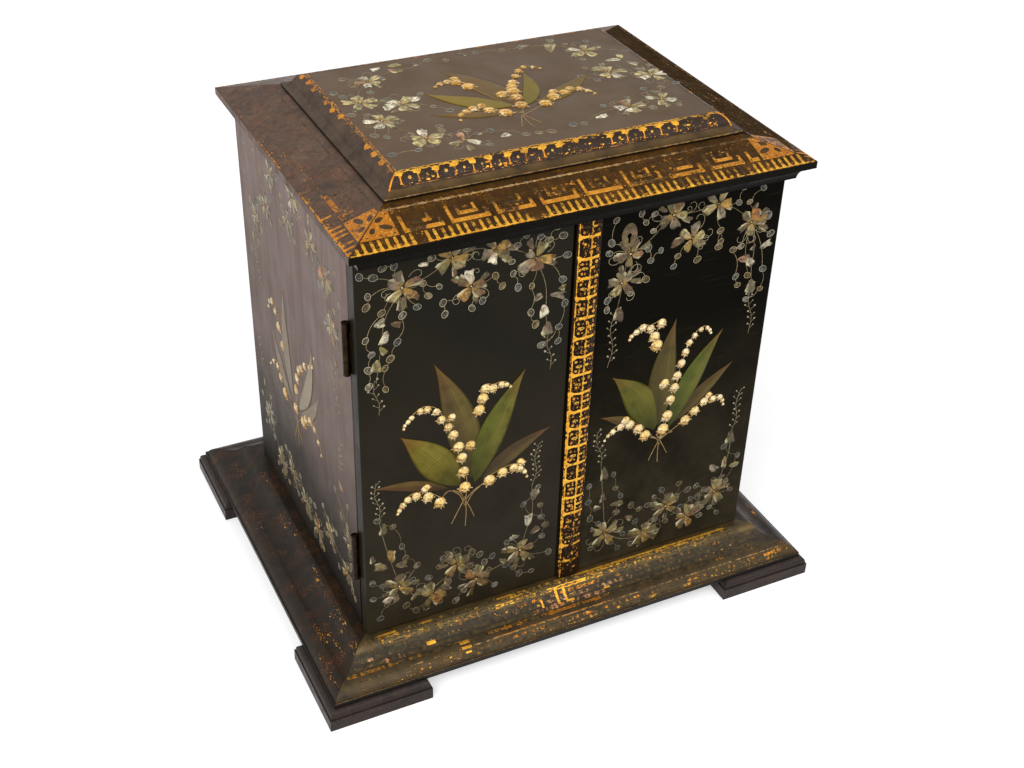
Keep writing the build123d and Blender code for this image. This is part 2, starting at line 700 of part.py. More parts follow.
# Drawers: a front, a tray of four boards dovetailed into it, and a turned knob pegged into the front
drawer_width = bank_width - 2 * drawer_side_gap
drawer_tray_front = nest_front + drawer_front_thickness
drawer_back_y = back_face - drawer_back_gap
tray_depth = drawer_back_y - drawer_tray_front
tray_inner_width = drawer_width - 2 * drawer_wall
tray_middle = (drawer_tray_front + drawer_back_y) / 2
grooved_width = tray_inner_width + 2 * drawer_groove
panel_width = grooved_width - 2 * drawer_panel_play
panel_depth = tray_depth + drawer_groove - drawer_panel_play
knob_centre = knob_length - knob_radius
knob_neck_end = knob_centre - (knob_radius**2 - knob_neck_radius**2) ** 0.5
for bank, x_sign in (("left", -1), ("right", 1)):
    drawer_x = x_sign * bank_middle
    wall_offset = (drawer_width - drawer_wall) / 2
    wall_places = (drawer_x - wall_offset, drawer_x + wall_offset)
    for row, opening in drawer_openings.items():
        drawer_bottom = row_floors[row] + drawer_floor_gap
        drawer_height = opening - drawer_floor_gap - drawer_top_gap
        groove_level = drawer_bottom + drawer_bottom_lift
        wall_height = drawer_height - drawer_wall_drop
        knob_z = drawer_bottom + drawer_height / 2

        with BuildPart() as drawer_front:
            with BuildSketch(Plane.XZ.offset(-drawer_tray_front)):
                with Locations((drawer_x, drawer_bottom)):
                    Rectangle(drawer_width, drawer_height, align=(Align.CENTER, Align.MIN))
            extrude(amount=drawer_front_thickness)
            chamfer(drawer_front.faces().sort_by(Axis.Y)[0].edges(), drawer_front_bevel)
            for wall_place in wall_places:
                add(dovetails(wall_place, drawer_tray_front, drawer_bottom, wall_height), mode=Mode.SUBTRACT)
            with BuildSketch(Plane.XY.offset(groove_level)):
                with Locations((drawer_x, drawer_tray_front)):
                    Rectangle(grooved_width, drawer_groove, align=(Align.CENTER, Align.MAX))
            extrude(amount=drawer_bottom_thickness, mode=Mode.SUBTRACT)
            with BuildSketch(Plane.XZ.offset(-nest_front)):
                with Locations((drawer_x, knob_z)):
                    Circle(knob_peg_radius + knob_peg_gap)
            extrude(amount=-knob_peg_length, mode=Mode.SUBTRACT)
        drawer_front.part.label = f"drawer_front_{bank}_{row}"
        export_step(drawer_front.part, f"parts/drawer_front_{bank}_{row}.step")

        with BuildPart() as drawer_tray:
            with BuildSketch(Plane.XY.offset(drawer_bottom)):
                with Locations([(wall_place, tray_middle) for wall_place in wall_places]):
                    Rectangle(drawer_wall, tray_depth)
            extrude(amount=wall_height)
            for wall_place in wall_places:
                add(dovetails(wall_place, drawer_tray_front, drawer_bottom, wall_height))
            with BuildSketch(Plane.XY.offset(groove_level)):
                with Locations((drawer_x, drawer_back_y)):
                    Rectangle(grooved_width, tray_depth + drawer_groove, align=(Align.CENTER, Align.MAX))
            extrude(amount=drawer_bottom_thickness, mode=Mode.SUBTRACT)
            with BuildSketch(Plane.XY.offset(groove_level + drawer_bottom_thickness)):
                with Locations((drawer_x, drawer_back_y)):
                    Rectangle(tray_inner_width - 2 * glue_line, drawer_wall, align=(Align.CENTER, Align.MAX))
            extrude(amount=wall_height - drawer_bottom_lift - drawer_bottom_thickness)
            with BuildSketch(Plane.XY.offset(groove_level + drawer_panel_play)):
                with Locations((drawer_x, drawer_back_y)):
                    Rectangle(panel_width, panel_depth, align=(Align.CENTER, Align.MAX))
            extrude(amount=drawer_bottom_thickness - 2 * drawer_panel_play)
        drawer_tray.part.label = f"drawer_tray_{bank}_{row}"
        export_step(drawer_tray.part, f"parts/drawer_tray_{bank}_{row}.step")

        with BuildPart() as knob:
            with BuildSketch(Plane(origin=(drawer_x, nest_front, knob_z), x_dir=(0, -1, 0), z_dir=(1, 0, 0))):
                with BuildLine():
                    Polyline((knob_length, 0), (-knob_peg_length, 0), (-knob_peg_length, knob_peg_radius),
                             (0, knob_peg_radius), (0, knob_flange_radius),
                             (knob_flange_thickness, knob_flange_radius),
                             (knob_flange_thickness, knob_neck_radius), (knob_neck_end, knob_neck_radius))
                    ThreePointArc((knob_neck_end, knob_neck_radius), (knob_centre, knob_radius),
                                  (knob_length, 0))
                make_face()
            revolve(axis=Axis((drawer_x, nest_front, knob_z), (0, -1, 0)))
        knob.part.label = f"drawer_knob_{bank}_{row}"
        export_step(knob.part, f"parts/drawer_knob_{bank}_{row}.step")
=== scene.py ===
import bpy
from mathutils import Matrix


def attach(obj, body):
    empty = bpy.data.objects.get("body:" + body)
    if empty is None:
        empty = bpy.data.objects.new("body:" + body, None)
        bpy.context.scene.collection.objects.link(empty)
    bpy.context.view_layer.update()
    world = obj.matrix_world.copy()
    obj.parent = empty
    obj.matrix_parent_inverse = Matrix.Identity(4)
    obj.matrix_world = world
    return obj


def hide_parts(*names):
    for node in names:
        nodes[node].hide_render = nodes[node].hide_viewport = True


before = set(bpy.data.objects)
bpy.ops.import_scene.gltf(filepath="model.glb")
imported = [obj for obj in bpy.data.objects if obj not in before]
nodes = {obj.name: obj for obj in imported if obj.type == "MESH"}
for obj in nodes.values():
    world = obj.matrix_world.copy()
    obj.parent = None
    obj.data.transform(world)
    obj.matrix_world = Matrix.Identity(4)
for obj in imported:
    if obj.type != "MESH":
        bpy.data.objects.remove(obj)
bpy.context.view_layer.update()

import math

import bmesh
import bpy
import numpy as np
from mathutils import Matrix, Vector

# Jewellery cabinet. Shapes are in millimetres, and a mesh is scaled to metres when it is made. The camera, the lamps
# and the heights and noise scales in the materials are in metres.
MM = 0.001
chance = np.random.default_rng(21)
X, Y, Z = np.eye(3)


# ---------------------------------------------------------------- camera, lights and floor

CAMERA_PLACE = (-0.3273, -0.6675, 0.6203)
CAMERA_TURN, CAMERA_TILT, CAMERA_ROLL = -0.47097, math.radians(55.475), 0.03196
CAMERA_LENS, CAMERA_SENSOR = 50.82, 36
LAMP_AIM = (0, 0, 0.15)
SKY_LIGHT, FLOOR_GLOW = 0.55, 0.45


def link(thing):
    bpy.context.scene.collection.objects.link(thing)
    return thing


def place_camera():
    """The camera stands where the photograph was taken: turned, tilted down and rolled a little."""
    camera = link(bpy.data.objects.new("camera", bpy.data.cameras.new("camera")))
    camera.data.lens, camera.data.sensor_width = CAMERA_LENS, CAMERA_SENSOR
    camera.matrix_world = (Matrix.Translation(CAMERA_PLACE) @ Matrix.Rotation(CAMERA_TURN, 4, "Z")
                           @ Matrix.Rotation(CAMERA_TILT, 4, "X") @ Matrix.Rotation(CAMERA_ROLL, 4, "Z"))
    bpy.context.scene.camera = camera


def place_lamp(name, place, power, size):
    """A square soft lamp, aimed at the middle of the cabinet."""
    lamp = bpy.data.lights.new(name, "AREA")
    lamp.energy, lamp.size = power, size
    aim = (Vector(LAMP_AIM) - Vector(place)).to_track_quat("-Z", "Y")
    link(bpy.data.objects.new(name, lamp)).matrix_world = Matrix.Translation(place) @ aim.to_matrix().to_4x4()


# ---------------------------------------------------------------- finishes

def linear(*tone):
    """A tone written 0 to 255 as a screen shows it, as the light it stands for."""
    share = np.array(tone, float) / 255
    return tuple(np.where(share <= 0.04045, share / 12.92, ((share + 0.055) / 1.055) ** 2.4)) + (1.0,)


def ink(*tone):
    """The same as an array, for the points of a piece."""
    return np.array(linear(*tone))


def dimmed(share, fourth=1):
    """What a tone is multiplied by to dim its light and to scale its fourth value."""
    return np.array([share] * 3 + [fourth])


class Graph:
    """A node tree, with short ways to add to it."""

    def __init__(self, tree):
        self.tree = tree

    def node(self, kind, inputs=(), **settings):
        made = self.tree.nodes.new(kind)
        for key, value in settings.items():
            setattr(made, key, value)
        for key, value in dict(inputs).items():
            if isinstance(value, bpy.types.NodeSocket):
                self.tree.links.new(value, made.inputs[key])
            else:
                made.inputs[key].default_value = value
        return made

    def math(self, operation, a, b=0.0, clamp=False):
        return self.node("ShaderNodeMath", {0: a, 1: b}, operation=operation, use_clamp=clamp).outputs[0]

    def seen(self):
        """1 for a ray that the camera sees, straight, off a glossy surface or through a clear one."""
        ray = self.node("ShaderNodeLightPath").outputs
        return self.math("MAXIMUM", ray["Is Camera Ray"],
                         self.math("MAXIMUM", ray["Is Glossy Ray"], ray["Is Transmission Ray"]))


class Finish(Graph):
    """A procedural material: one shader with constant sockets, and the nodes that feed its colour, gloss and relief."""

    def __init__(self, name, **constants):
        self.material = bpy.data.materials.new(name)
        self.material.use_nodes = True
        super().__init__(self.material.node_tree)
        self.shader = self.tree.nodes["Principled BSDF"]
        for socket, value in constants.items():
            self.shader.inputs[socket.replace("_", " ")].default_value = value
        self.place = self.node("ShaderNodeTexCoord").outputs["Object"]

    def noise(self, scale, detail=3.0, stretch=None, rough=0.5, warp=0.0):
        """Cloudy noise, scale in lumps per metre, drawn out along an axis where stretch is given."""
        place = self.place
        if stretch is not None:
            place = self.node("ShaderNodeMapping", {"Vector": place, "Scale": stretch}).outputs[0]
        return self.node("ShaderNodeTexNoise", {"Vector": place, "Scale": scale, "Detail": detail, "Roughness": rough,
                                                "Distortion": warp}).outputs[0]

    def strands(self, parts, detail):
        """Noise read at a place made of the given parts."""
        place = self.node("ShaderNodeCombineXYZ", dict(enumerate(parts))).outputs[0]
        return self.node("ShaderNodeTexNoise", {"Vector": place, "Scale": 1.0, "Detail": detail}).outputs[0]

    def dots(self, scale):
        """Distance to the middle of a cell, 0 at the middle."""
        return self.node("ShaderNodeTexVoronoi", {"Vector": self.place, "Scale": scale}).outputs[0]

    def times(self, a, b):
        return self.math("MULTIPLY", a, b)

    def plus(self, a, b):
        return self.math("ADD", a, b)

    def band(self, value, low, high):
        """0 at low, 1 at high, straight between."""
        return self.node("ShaderNodeMapRange", {"Value": value, "From Min": low, "From Max": high}).outputs[0]

    def mix(self, share, a, b):
        return self.node("ShaderNodeMix", {0: share, 6: a, 7: b}, data_type="RGBA").outputs[2]

    def wash(self, colour, mask, share, tone):
        """The colour with a tone over it where the mask is 1, at the given strength."""
        return self.mix(self.times(mask, share), colour, linear(*tone))

    def ramp(self, value, *stops):
        made = self.node("ShaderNodeValToRGB", {"Fac": value})
        strip = made.color_ramp.elements
        while len(strip) < len(stops):
            strip.new(0.5)
        for element, (at, tone) in zip(strip, stops):
            element.position, element.color = at, tone
        return made.outputs[0]

    def axis(self, letter):
        return self.node("ShaderNodeSeparateXYZ", {0: self.place}).outputs["XYZ".index(letter)]

    def tone(self):
        """The colour and the fourth value that a piece carries at its points."""
        carried = self.node("ShaderNodeAttribute", attribute_name="tone")
        return carried.outputs["Color"], carried.outputs["Alpha"]

    def trace(self, which):
        """The piece's own two coordinates: 0 runs along a stroke or petal, 1 runs across it."""
        carried = self.node("ShaderNodeUVMap", uv_map="trace").outputs[0]
        return self.node("ShaderNodeSeparateXYZ", {0: carried}).outputs[which]

    def finish(self, colour, gloss=None, relief=None, depth=0.0001, metal=None):
        self.tree.links.new(colour, self.shader.inputs["Base Color"])
        if gloss is not None:
            self.tree.links.new(gloss, self.shader.inputs["Roughness"])
        if metal is not None:
            self.tree.links.new(metal, self.shader.inputs["Metallic"])
        if relief is not None:
            bump = self.node("ShaderNodeBump", {"Height": relief, "Distance": depth, "Strength": 1.0})
            self.tree.links.new(bump.outputs[0], self.shader.inputs["Normal"])
        return self.material


def black_lacquer(name, ground, bloom, shine, bloom_share=0.5, warmth=(30, 22, 12), reflection_heights=None):
    """Black varnish: a dark ground, a brownish cast in patches, a pale bloom of age, fine scratches and dust. Where two
    heights are given, the bloom is full at the first and gone at the second: on the doors this is painted reflection,
    the floor seen in the varnish, lighter toward their foot."""
    f = Finish(name, Specular_IOR_Level=shine)
    clouds = f.noise(14, 4, warp=0.6)
    colour = f.mix(f.band(clouds, 0.35, 0.75), linear(*ground), linear(*warmth))
    bloom_and_reflection = f.times(f.band(f.noise(38, 5, rough=0.65), 0.2, 0.7), bloom_share)
    # Painted reflection: the bloom is held low on the doors by height, where the floor shows in the varnish.
    if reflection_heights:
        bloom_and_reflection = f.times(bloom_and_reflection, f.band(f.axis("Z"), reflection_heights[1], reflection_heights[0]))
    colour = f.mix(bloom_and_reflection, colour, linear(*bloom))
    scratch = f.band(f.noise(900, 2, stretch=(0.06, 0.06, 1.0)), 0.66, 0.76)
    colour = f.wash(colour, scratch, 0.12, bloom)
    dust = f.band(f.dots(700), 0.06, 0.02)
    colour = f.wash(colour, dust, 0.15, (110, 96, 76))
    gloss = f.band(f.noise(60, 4), -0.6, 2.2)
    relief = f.plus(f.times(f.noise(26, 2), 1.0), f.times(f.noise(420, 3), 0.05))
    return f.finish(colour, gloss, relief, 0.0006)


def side_lacquer_and_sheen():
    """The case's own varnish, streaked by wiping, under a painted sheen: lighter toward the cornice and dark and warm
    low down, as the room is reflected at a grazing angle.
    """
    f = Finish("lacquer_case", Specular_IOR_Level=0.16)
    # Painted sheen: a ramp by height, from dark and warm at the foot to light grey-violet under the cornice.
    height = f.plus(f.axis("Z"), f.times(f.noise(9, 3), 0.06))
    colour = f.ramp(f.band(height, 0.05, 0.33), (0.0, linear(8, 5, 2)), (0.2, linear(40, 30, 18)),
                    (0.42, linear(110, 93, 86)), (0.8, linear(122, 103, 97)), (1.0, linear(140, 118, 112)))
    streak = f.noise(120, 4, stretch=(1.0, 1.0, 0.12), rough=0.6)
    colour = f.wash(colour, f.band(streak, 0.4, 0.8), 0.5, (44, 34, 26))
    # Pale streaks, made stronger toward the top by the same painted sheen.
    pale = f.band(f.noise(420, 3, stretch=(1.0, 1.0, 0.25), rough=0.7), 0.58, 0.72)
    colour = f.wash(colour, pale, f.band(height, 0.05, 0.3), (132, 116, 98))
    dust = f.band(f.dots(520), 0.10, 0.02)
    colour = f.wash(colour, dust, 0.4, (150, 132, 108))
    gloss = f.band(f.noise(50, 4), -0.9, 1.5)
    relief = f.plus(f.noise(22, 2), f.times(f.noise(380, 3), 0.06))
    return f.finish(colour, gloss, relief, 0.0005)


def worn_japan(name, ground, rub, gilt, gilt_amount, shine=0.18, redness=(74, 40, 20), dark_below=0.0, tone_and_sheen_tiers=()):
    """Old brown varnish on a moulding: rubbed patches, specks of gilding that noise leaves standing, and plain black
    below a height. On the lid moulding that black is painted shadow in the gap under the lid, on the cornice's edge it
    is black paint made darker as painted shade, and on the plinth it covers the lowest fillet. The tiers list heights,
    from low to high, and a tone at each: partly the moulding's own browns, partly painted sheen, highlight and
    reflection along its bands."""
    f = Finish(name, Specular_IOR_Level=shine)
    patches = f.noise(70, 5, rough=0.65, warp=0.4)
    colour = f.mix(f.band(patches, 0.35, 0.7), linear(*ground), linear(*rub))
    colour = f.wash(colour, f.band(f.noise(160, 4), 0.5, 0.75), 0.45, redness)
    specks = f.times(f.band(f.noise(1500, 3, rough=0.7), 0.54, 0.64), f.band(f.noise(85, 4), 0.5, 0.64))
    specks = f.math("MULTIPLY", specks, gilt_amount, clamp=True)
    colour = f.mix(specks, colour, linear(*gilt))
    grime = f.band(f.noise(420, 5, rough=0.65), 0.36, 0.72)
    colour = f.wash(colour, grime, 0.55, (22, 16, 9))
    # Painted sheen and highlight mixed with the moulding's browns: light bands on the plinth's ovolo and bead and at
    # the lid moulding's foot, grey-blue in the plinth's cove.
    if tone_and_sheen_tiers:
        level = f.plus(f.axis("Z"), f.times(f.noise(120, 3), 0.0012))
        low, high = tone_and_sheen_tiers[0][0], tone_and_sheen_tiers[-1][0]
        stops = [((at - low) / (high - low), linear(*tone)) for at, tone in tone_and_sheen_tiers]
        tier_tone_and_sheen = f.ramp(f.band(level, low + 0.0006, high + 0.0006), *stops)
        colour = f.mix(f.times(f.band(patches, 0.25, 0.6), 0.75), colour, tier_tone_and_sheen)
    # Black below a height: painted shadow under the lid moulding, and black paint darkened as painted shade on the
    # cornice's edge.
    if dark_below:
        black = f.band(f.axis("Z"), dark_below + 0.0003, dark_below - 0.0001)
        colour = f.mix(black, colour, linear(10, 7, 3))
    gloss = f.band(f.noise(180, 4), -0.45, 1.7)
    relief = f.plus(f.noise(500, 4), f.times(f.noise(60, 3), 2.0))
    return f.finish(colour, gloss, relief, 0.00012, metal=f.times(specks, 0.6))


def gilding(name, dark, light):
    """Gold leaf on size of two browns: the fourth value of the tone says how much is worn away, noise chooses where."""
    f = Finish(name, Specular_IOR_Level=0.12)
    leaf, wear = f.tone()
    grain = f.plus(f.times(f.noise(480, 4, rough=0.7), 0.45), f.times(f.noise(2300, 3, rough=0.7), 0.3))
    grain = f.plus(grain, f.times(f.noise(130, 3, rough=0.6), 0.25))
    left = f.math("SUBTRACT", grain, f.band(wear, 0, 1.0))
    left = f.band(left, -0.02, 0.05)
    shade = f.wash(leaf, f.band(f.noise(260, 3), 0.35, 0.7), 0.65, (176, 100, 26))
    # Painted highlights: small bright pale-gold spots scattered on the leaf.
    shade = f.wash(shade, f.band(f.noise(900, 2), 0.55, 0.7), 0.5, (255, 216, 104))
    size = f.mix(f.band(f.noise(300, 3), 0.35, 0.7), linear(*dark), linear(*light))
    colour = f.mix(left, size, shade)
    gloss = f.band(f.noise(600, 3), -0.4, 1.6)
    relief = f.plus(f.noise(1500, 3), f.times(left, 0.6))
    return f.finish(colour, gloss, relief, 0.00006, metal=f.times(left, 0.65))


def pearl(name, plate=None):
    """Mother-of-pearl: the tone carried by each slip, drifting to pink and to green, brown stains, fine rays, a painted
    highlight down one side of each slip and a dark inked rim. Slips whose tone has a fourth value are yellow at the
    flower's heart. plate is the tone of a whole plate instead."""
    f = Finish(name, Specular_IOR_Level=0.3, Coat_Weight=0.1)
    tone, flower = f.tone()
    if plate:
        tone, flower = linear(*plate), 0.0
    along, across = f.trace(0), f.trace(1)
    drift = f.noise(190, 3, warp=1.6)
    colour = f.wash(tone, f.band(drift, 0.52, 0.66), 0.5, (150, 104, 72))
    colour = f.wash(colour, f.band(drift, 0.5, 0.36), 0.6, (128, 122, 50))
    stain = f.noise(330, 4, rough=0.7)
    colour = f.wash(colour, f.band(stain, 0.45, 0.6), 0.8, (60, 42, 22))
    rays = f.strands((f.times(along, 1.3), f.times(across, 9.0), f.times(f.axis("Z"), 90.0)), 2.0)
    colour = f.wash(colour, f.band(rays, 0.48, 0.66), 0.75, (48, 34, 16))
    heart = f.times(f.times(f.band(along, 0.5, 0.1), 0.55), flower)
    streak = f.band(f.noise(520, 2), 0.4, 0.6)
    colour = f.mix(heart, colour, f.mix(streak, linear(58, 40, 18), linear(186, 142, 56)))
    # Painted highlight: one side of each slip lightened in patches, as if catching the light.
    bright = f.times(f.band(across, 0.25, 0.8), f.band(f.noise(150, 2), 0.42, 0.56))
    colour = f.wash(colour, bright, 0.75, (236, 224, 178))
    inked = f.math("MAXIMUM", f.band(f.math("ABSOLUTE", across), 0.8, 1.0), f.band(along, 0.9, 1.0))
    colour = f.wash(colour, inked, 0.75, (22, 16, 8))
    gloss = f.band(f.noise(300, 3), -0.6, 2.0)
    relief = f.plus(f.times(rays, 0.6), f.noise(320, 3))
    return f.finish(colour, gloss, relief, 0.00012)


def enamel():
    """Thick oil colour of lines, rings and bells: the carried tone, clouded and a little streaked."""
    f = Finish("enamel", Specular_IOR_Level=0.2)
    tone, _ = f.tone()
    colour = f.wash(tone, f.band(f.noise(700, 4), 0.45, 0.8), 0.35, (92, 74, 46))
    colour = f.wash(colour, f.band(f.noise(300, 3), 0.5, 0.75), 0.25, (236, 220, 186))
    return f.finish(colour, f.band(f.noise(400, 3), -0.2, 1.6), f.noise(1400, 3), 0.00008)


def bell_paint():
    """Bell flowers: cream crowns, brown between the crown and the pale lip and round the rim, with brown, orange and
    white touches of the brush."""
    f = Finish("bell_paint", Specular_IOR_Level=0.2)
    tone, _ = f.tone()
    fall, side = f.trace(0), f.trace(1)
    grain = f.noise(800, 3)
    drop = f.times(f.math("SUBTRACT", fall, 0.5), 2.0)
    reach = f.math("SQRT", f.plus(f.times(drop, drop), f.times(side, side)))
    rim = f.band(f.plus(reach, f.times(grain, 0.5)), 0.86, 1.2)
    colour = f.wash(tone, rim, 0.6, (156, 100, 38))
    throat = f.ramp(f.plus(fall, f.times(f.band(grain, 0.2, 0.8), 0.25)), (0.0, (0, 0, 0, 1)), (0.64, (0, 0, 0, 1)),
                    (0.78, (0.95, 0.95, 0.95, 1)), (0.9, (0.1, 0.1, 0.1, 1)), (1.0, (0.6, 0.6, 0.6, 1)))
    colour = f.mix(throat, colour, linear(118, 74, 26))
    colour = f.wash(colour, f.band(f.noise(620, 2), 0.54, 0.62), 0.6, (206, 150, 62))
    colour = f.wash(colour, f.band(f.noise(900, 2, warp=1.0), 0.57, 0.63), 0.75, (94, 62, 24))
    colour = f.wash(colour, f.band(f.noise(560, 2), 0.46, 0.36), 0.6, (255, 246, 208))
    return f.finish(colour, f.band(f.noise(400, 3), -0.1, 1.6), f.noise(900, 3), 0.0002)


def leaf_paint():
    """Painted leaves: fine veins from foot to tip, one half lighter, brushed streaks, a rusty tip and a dark foot. The
    tone's fourth value says how thickly the leaf is painted: the ones behind are thin."""
    f = Finish("leaf_paint", Specular_IOR_Level=0.08)
    tone, body = f.tone()
    along, across = f.trace(0), f.trace(1)
    wander = f.plus(f.times(across, 7.0), f.times(f.noise(60, 2), 1.4))
    vein = f.band(f.math("SINE", f.times(wander, 6.283)), 0.35, 1.0)
    brush = f.strands((f.times(along, 2.2), f.times(across, 12.0)), 3.0)
    lit = f.plus(f.times(f.band(across, -0.1, 0.3), 0.35), f.times(f.band(brush, 0.46, 0.7), 0.35))
    colour = f.wash(tone, lit, body, (140, 126, 58))
    dark = f.math("MAXIMUM", f.times(vein, 0.42), f.times(f.band(f.noise(110, 4), 0.46, 0.72), 0.5))
    edge = f.band(f.math("ABSOLUTE", across), 0.86, 1.0)
    dark = f.math("MAXIMUM", dark, f.times(edge, 0.35))
    dark = f.times(dark, f.band(body, 0.0, 0.6))
    colour = f.mix(dark, colour, linear(12, 10, 4))
    foot = f.times(f.times(f.band(along, 0.45, 0.0), 0.75), f.band(body, 0.0, 0.6))
    colour = f.mix(foot, colour, linear(22, 26, 8))
    tip = f.times(f.band(along, 0.7, 1.0), f.band(body, 0.0, 1.2))
    colour = f.mix(tip, colour, linear(112, 68, 34))
    return f.finish(colour, f.band(f.noise(200, 3), -0.3, 1.8), brush, 0.00005)


def cabinet_wood(name, light, dark, along, shine=0.4):
    """Straight-grained wood: long drawn-out noise for the figure, and finer dark pores."""
    f = Finish(name, Specular_IOR_Level=shine)
    stretch = {"X": (0.07, 1, 1), "Y": (1, 0.07, 1), "Z": (1, 1, 0.07)}[along]
    figure = f.noise(110, 5, stretch=stretch, rough=0.6, warp=0.8)
    colour = f.mix(f.band(figure, 0.3, 0.72), linear(*dark), linear(*light))
    pores = f.band(f.noise(1500, 2, stretch=stretch), 0.6, 0.68)
    colour = f.wash(colour, pores, 0.55, [tone * 0.45 for tone in dark])
    return f.finish(colour, f.band(figure, -0.5, 2.3), f.math("SUBTRACT", figure, pores), 0.00008)


def old_metal(name, bright, dull):
    """Tarnished metal with fine rubbed lines."""
    f = Finish(name, Metallic=1.0)
    tarnish = f.noise(300, 5, rough=0.7)
    colour = f.mix(f.band(tarnish, 0.38, 0.66), linear(*bright), linear(*dull))
    rubbed = f.noise(1200, 3, stretch=(0.2, 1, 1))
    gloss = f.band(f.noise(500, 4), -0.268, 1.5)
    return f.finish(colour, gloss, f.plus(rubbed, tarnish), 0.00004)


def pile(name, deep, lit):
    """Velvet: a sheen at the edges of forms, short pile and rubbed clouds."""
    f = Finish(name, Sheen_Weight=0.7, Sheen_Roughness=0.4, Specular_IOR_Level=0.15)
    f.shader.inputs["Sheen Tint"].default_value = linear(*lit)
    crush = f.noise(65, 4, rough=0.6, warp=0.7)
    colour = f.mix(f.band(crush, 0.35, 0.7), linear(*deep), linear(*lit))
    nap = f.noise(3200, 2)
    return f.finish(colour, f.band(nap, -1.2, 1.4), f.plus(f.times(nap, 0.5), crush), 0.0003)


def woven_silk(name, deep, lit):
    """Silk rep: fine ribs one way, threads the other, and a soft shine."""
    f = Finish(name, Sheen_Weight=0.35, Sheen_Roughness=0.3, Specular_IOR_Level=0.45)
    rib = f.math("SINE", f.times(f.axis("Y"), 9500.0))
    thread = f.math("SINE", f.times(f.axis("X"), 6200.0))
    weave = f.plus(rib, f.times(thread, 0.5))
    colour = f.mix(f.band(f.noise(80, 4, stretch=(0.2, 1, 1)), 0.3, 0.75), linear(*deep), linear(*lit))
    colour = f.wash(colour, f.band(weave, -1.5, 1.5), 0.25, [min(255, t * 1.5) for t in lit])
    return f.finish(colour, f.band(f.noise(500, 3), -0.6, 1.7), weave, 0.00003)


# ---------------------------------------------------------------- shapes laid on the cabinet's surfaces

def ways(bearing):
    """Unit vectors at bearings given in radians."""
    return np.stack([np.cos(bearing), np.sin(bearing)], -1)


def left_of(way):
    """Vectors turned a quarter turn."""
    return np.stack([-way[..., 1], way[..., 0]], -1)


def pairs(a, t):
    """Points of a surface from where they are along it and where they are on its section."""
    return np.stack(np.broadcast_arrays(a, t), -1)


def circle(count):
    return ways(np.linspace(0, 2 * np.pi, count, endpoint=False))


def arc(start, end, swell):
    """Points of the circular arc from start to end whose middle stands swell to the left of the chord.
    Off the chord = sqrt(r r - (s - c/2)^2) - (r - |swell|), where r = (c c / 4 + swell swell) / (2 |swell|)."""
    start, end = np.array(start, float), np.array(end, float)
    chord = np.hypot(*(end - start))
    radius = (chord ** 2 / 4 + swell ** 2) / (2 * abs(swell))
    run = np.linspace(0, chord, 9)
    off = np.sign(swell) * (np.sqrt(radius ** 2 - (run - chord / 2) ** 2) - (radius - abs(swell)))
    way = (end - start) / chord
    return start + run[:, None] * way + off[:, None] * left_of(way)


class Surface:
    """A section carried straight. lay(a, t, h) is the point a along it, t along the section and h off it."""

    def __init__(self, corner, along, inward, outward, section=((0, 0), (400, 0)), length=0.0):
        self.corner, self.along, self.inward, self.outward = map(np.array, (corner, along, inward, outward))
        self.section, self.length = np.array(section, float), length
        step = np.diff(self.section, axis=0)
        run = np.hypot(*step.T)
        self.reach = np.concatenate([[0], np.cumsum(run)])
        facing = left_of(step) / run[:, None]
        facing = np.concatenate([facing[:1], facing[1:] + facing[:-1], facing[-1:]])
        self.facing = facing / np.hypot(*facing.T)[:, None]

    def lay(self, a, t, h):
        x = np.interp(t, self.reach, self.section[:, 0]) + h * np.interp(t, self.reach, self.facing[:, 0])
        y = np.interp(t, self.reach, self.section[:, 1]) + h * np.interp(t, self.reach, self.facing[:, 1])
        a, x, y = np.broadcast_arrays(a, x, y)
        return (self.corner + a[..., None] * self.along + x[..., None] * self.inward + y[..., None] * self.outward)

    def depth(self, t):
        """How far in from the outer edge the section has come at t: where a mitre cuts it."""
        return np.interp(t, self.reach, self.section[:, 0])


def stack_faces(around, rings):
    """Rings of points, one below another, closed by a centre point above the first and one below the last."""
    ring = 1 + np.arange(rings * around).reshape(rings, around)
    after = np.roll(ring, -1, 1)
    top = np.stack([np.zeros(around, int), ring[0], after[0]], 1)
    foot = np.stack([np.full(around, rings * around + 1), after[-1], ring[-1]], 1)
    sides = np.stack([ring[:-1], ring[1:], after[1:], after[:-1]], -1).reshape(-1, 4)
    return [np.concatenate([top, foot]), sides]


def bar_faces(stations, sides, closed=False):
    """A ring of points at each station along a bar, with flat ends, or joined end to end where closed."""
    grid = np.arange(stations * sides).reshape(stations, sides)
    turn = np.roll(grid, -1, 1)
    last = slice(None) if closed else slice(-1)
    on, on_turn = np.roll(grid, -1, 0)[last], np.roll(turn, -1, 0)[last]
    quads = np.stack([grid[last], on, on_turn, turn[last]], -1).reshape(-1, 4)
    return [quads] if closed else [quads, np.stack([grid[0][::-1], grid[-1]])]


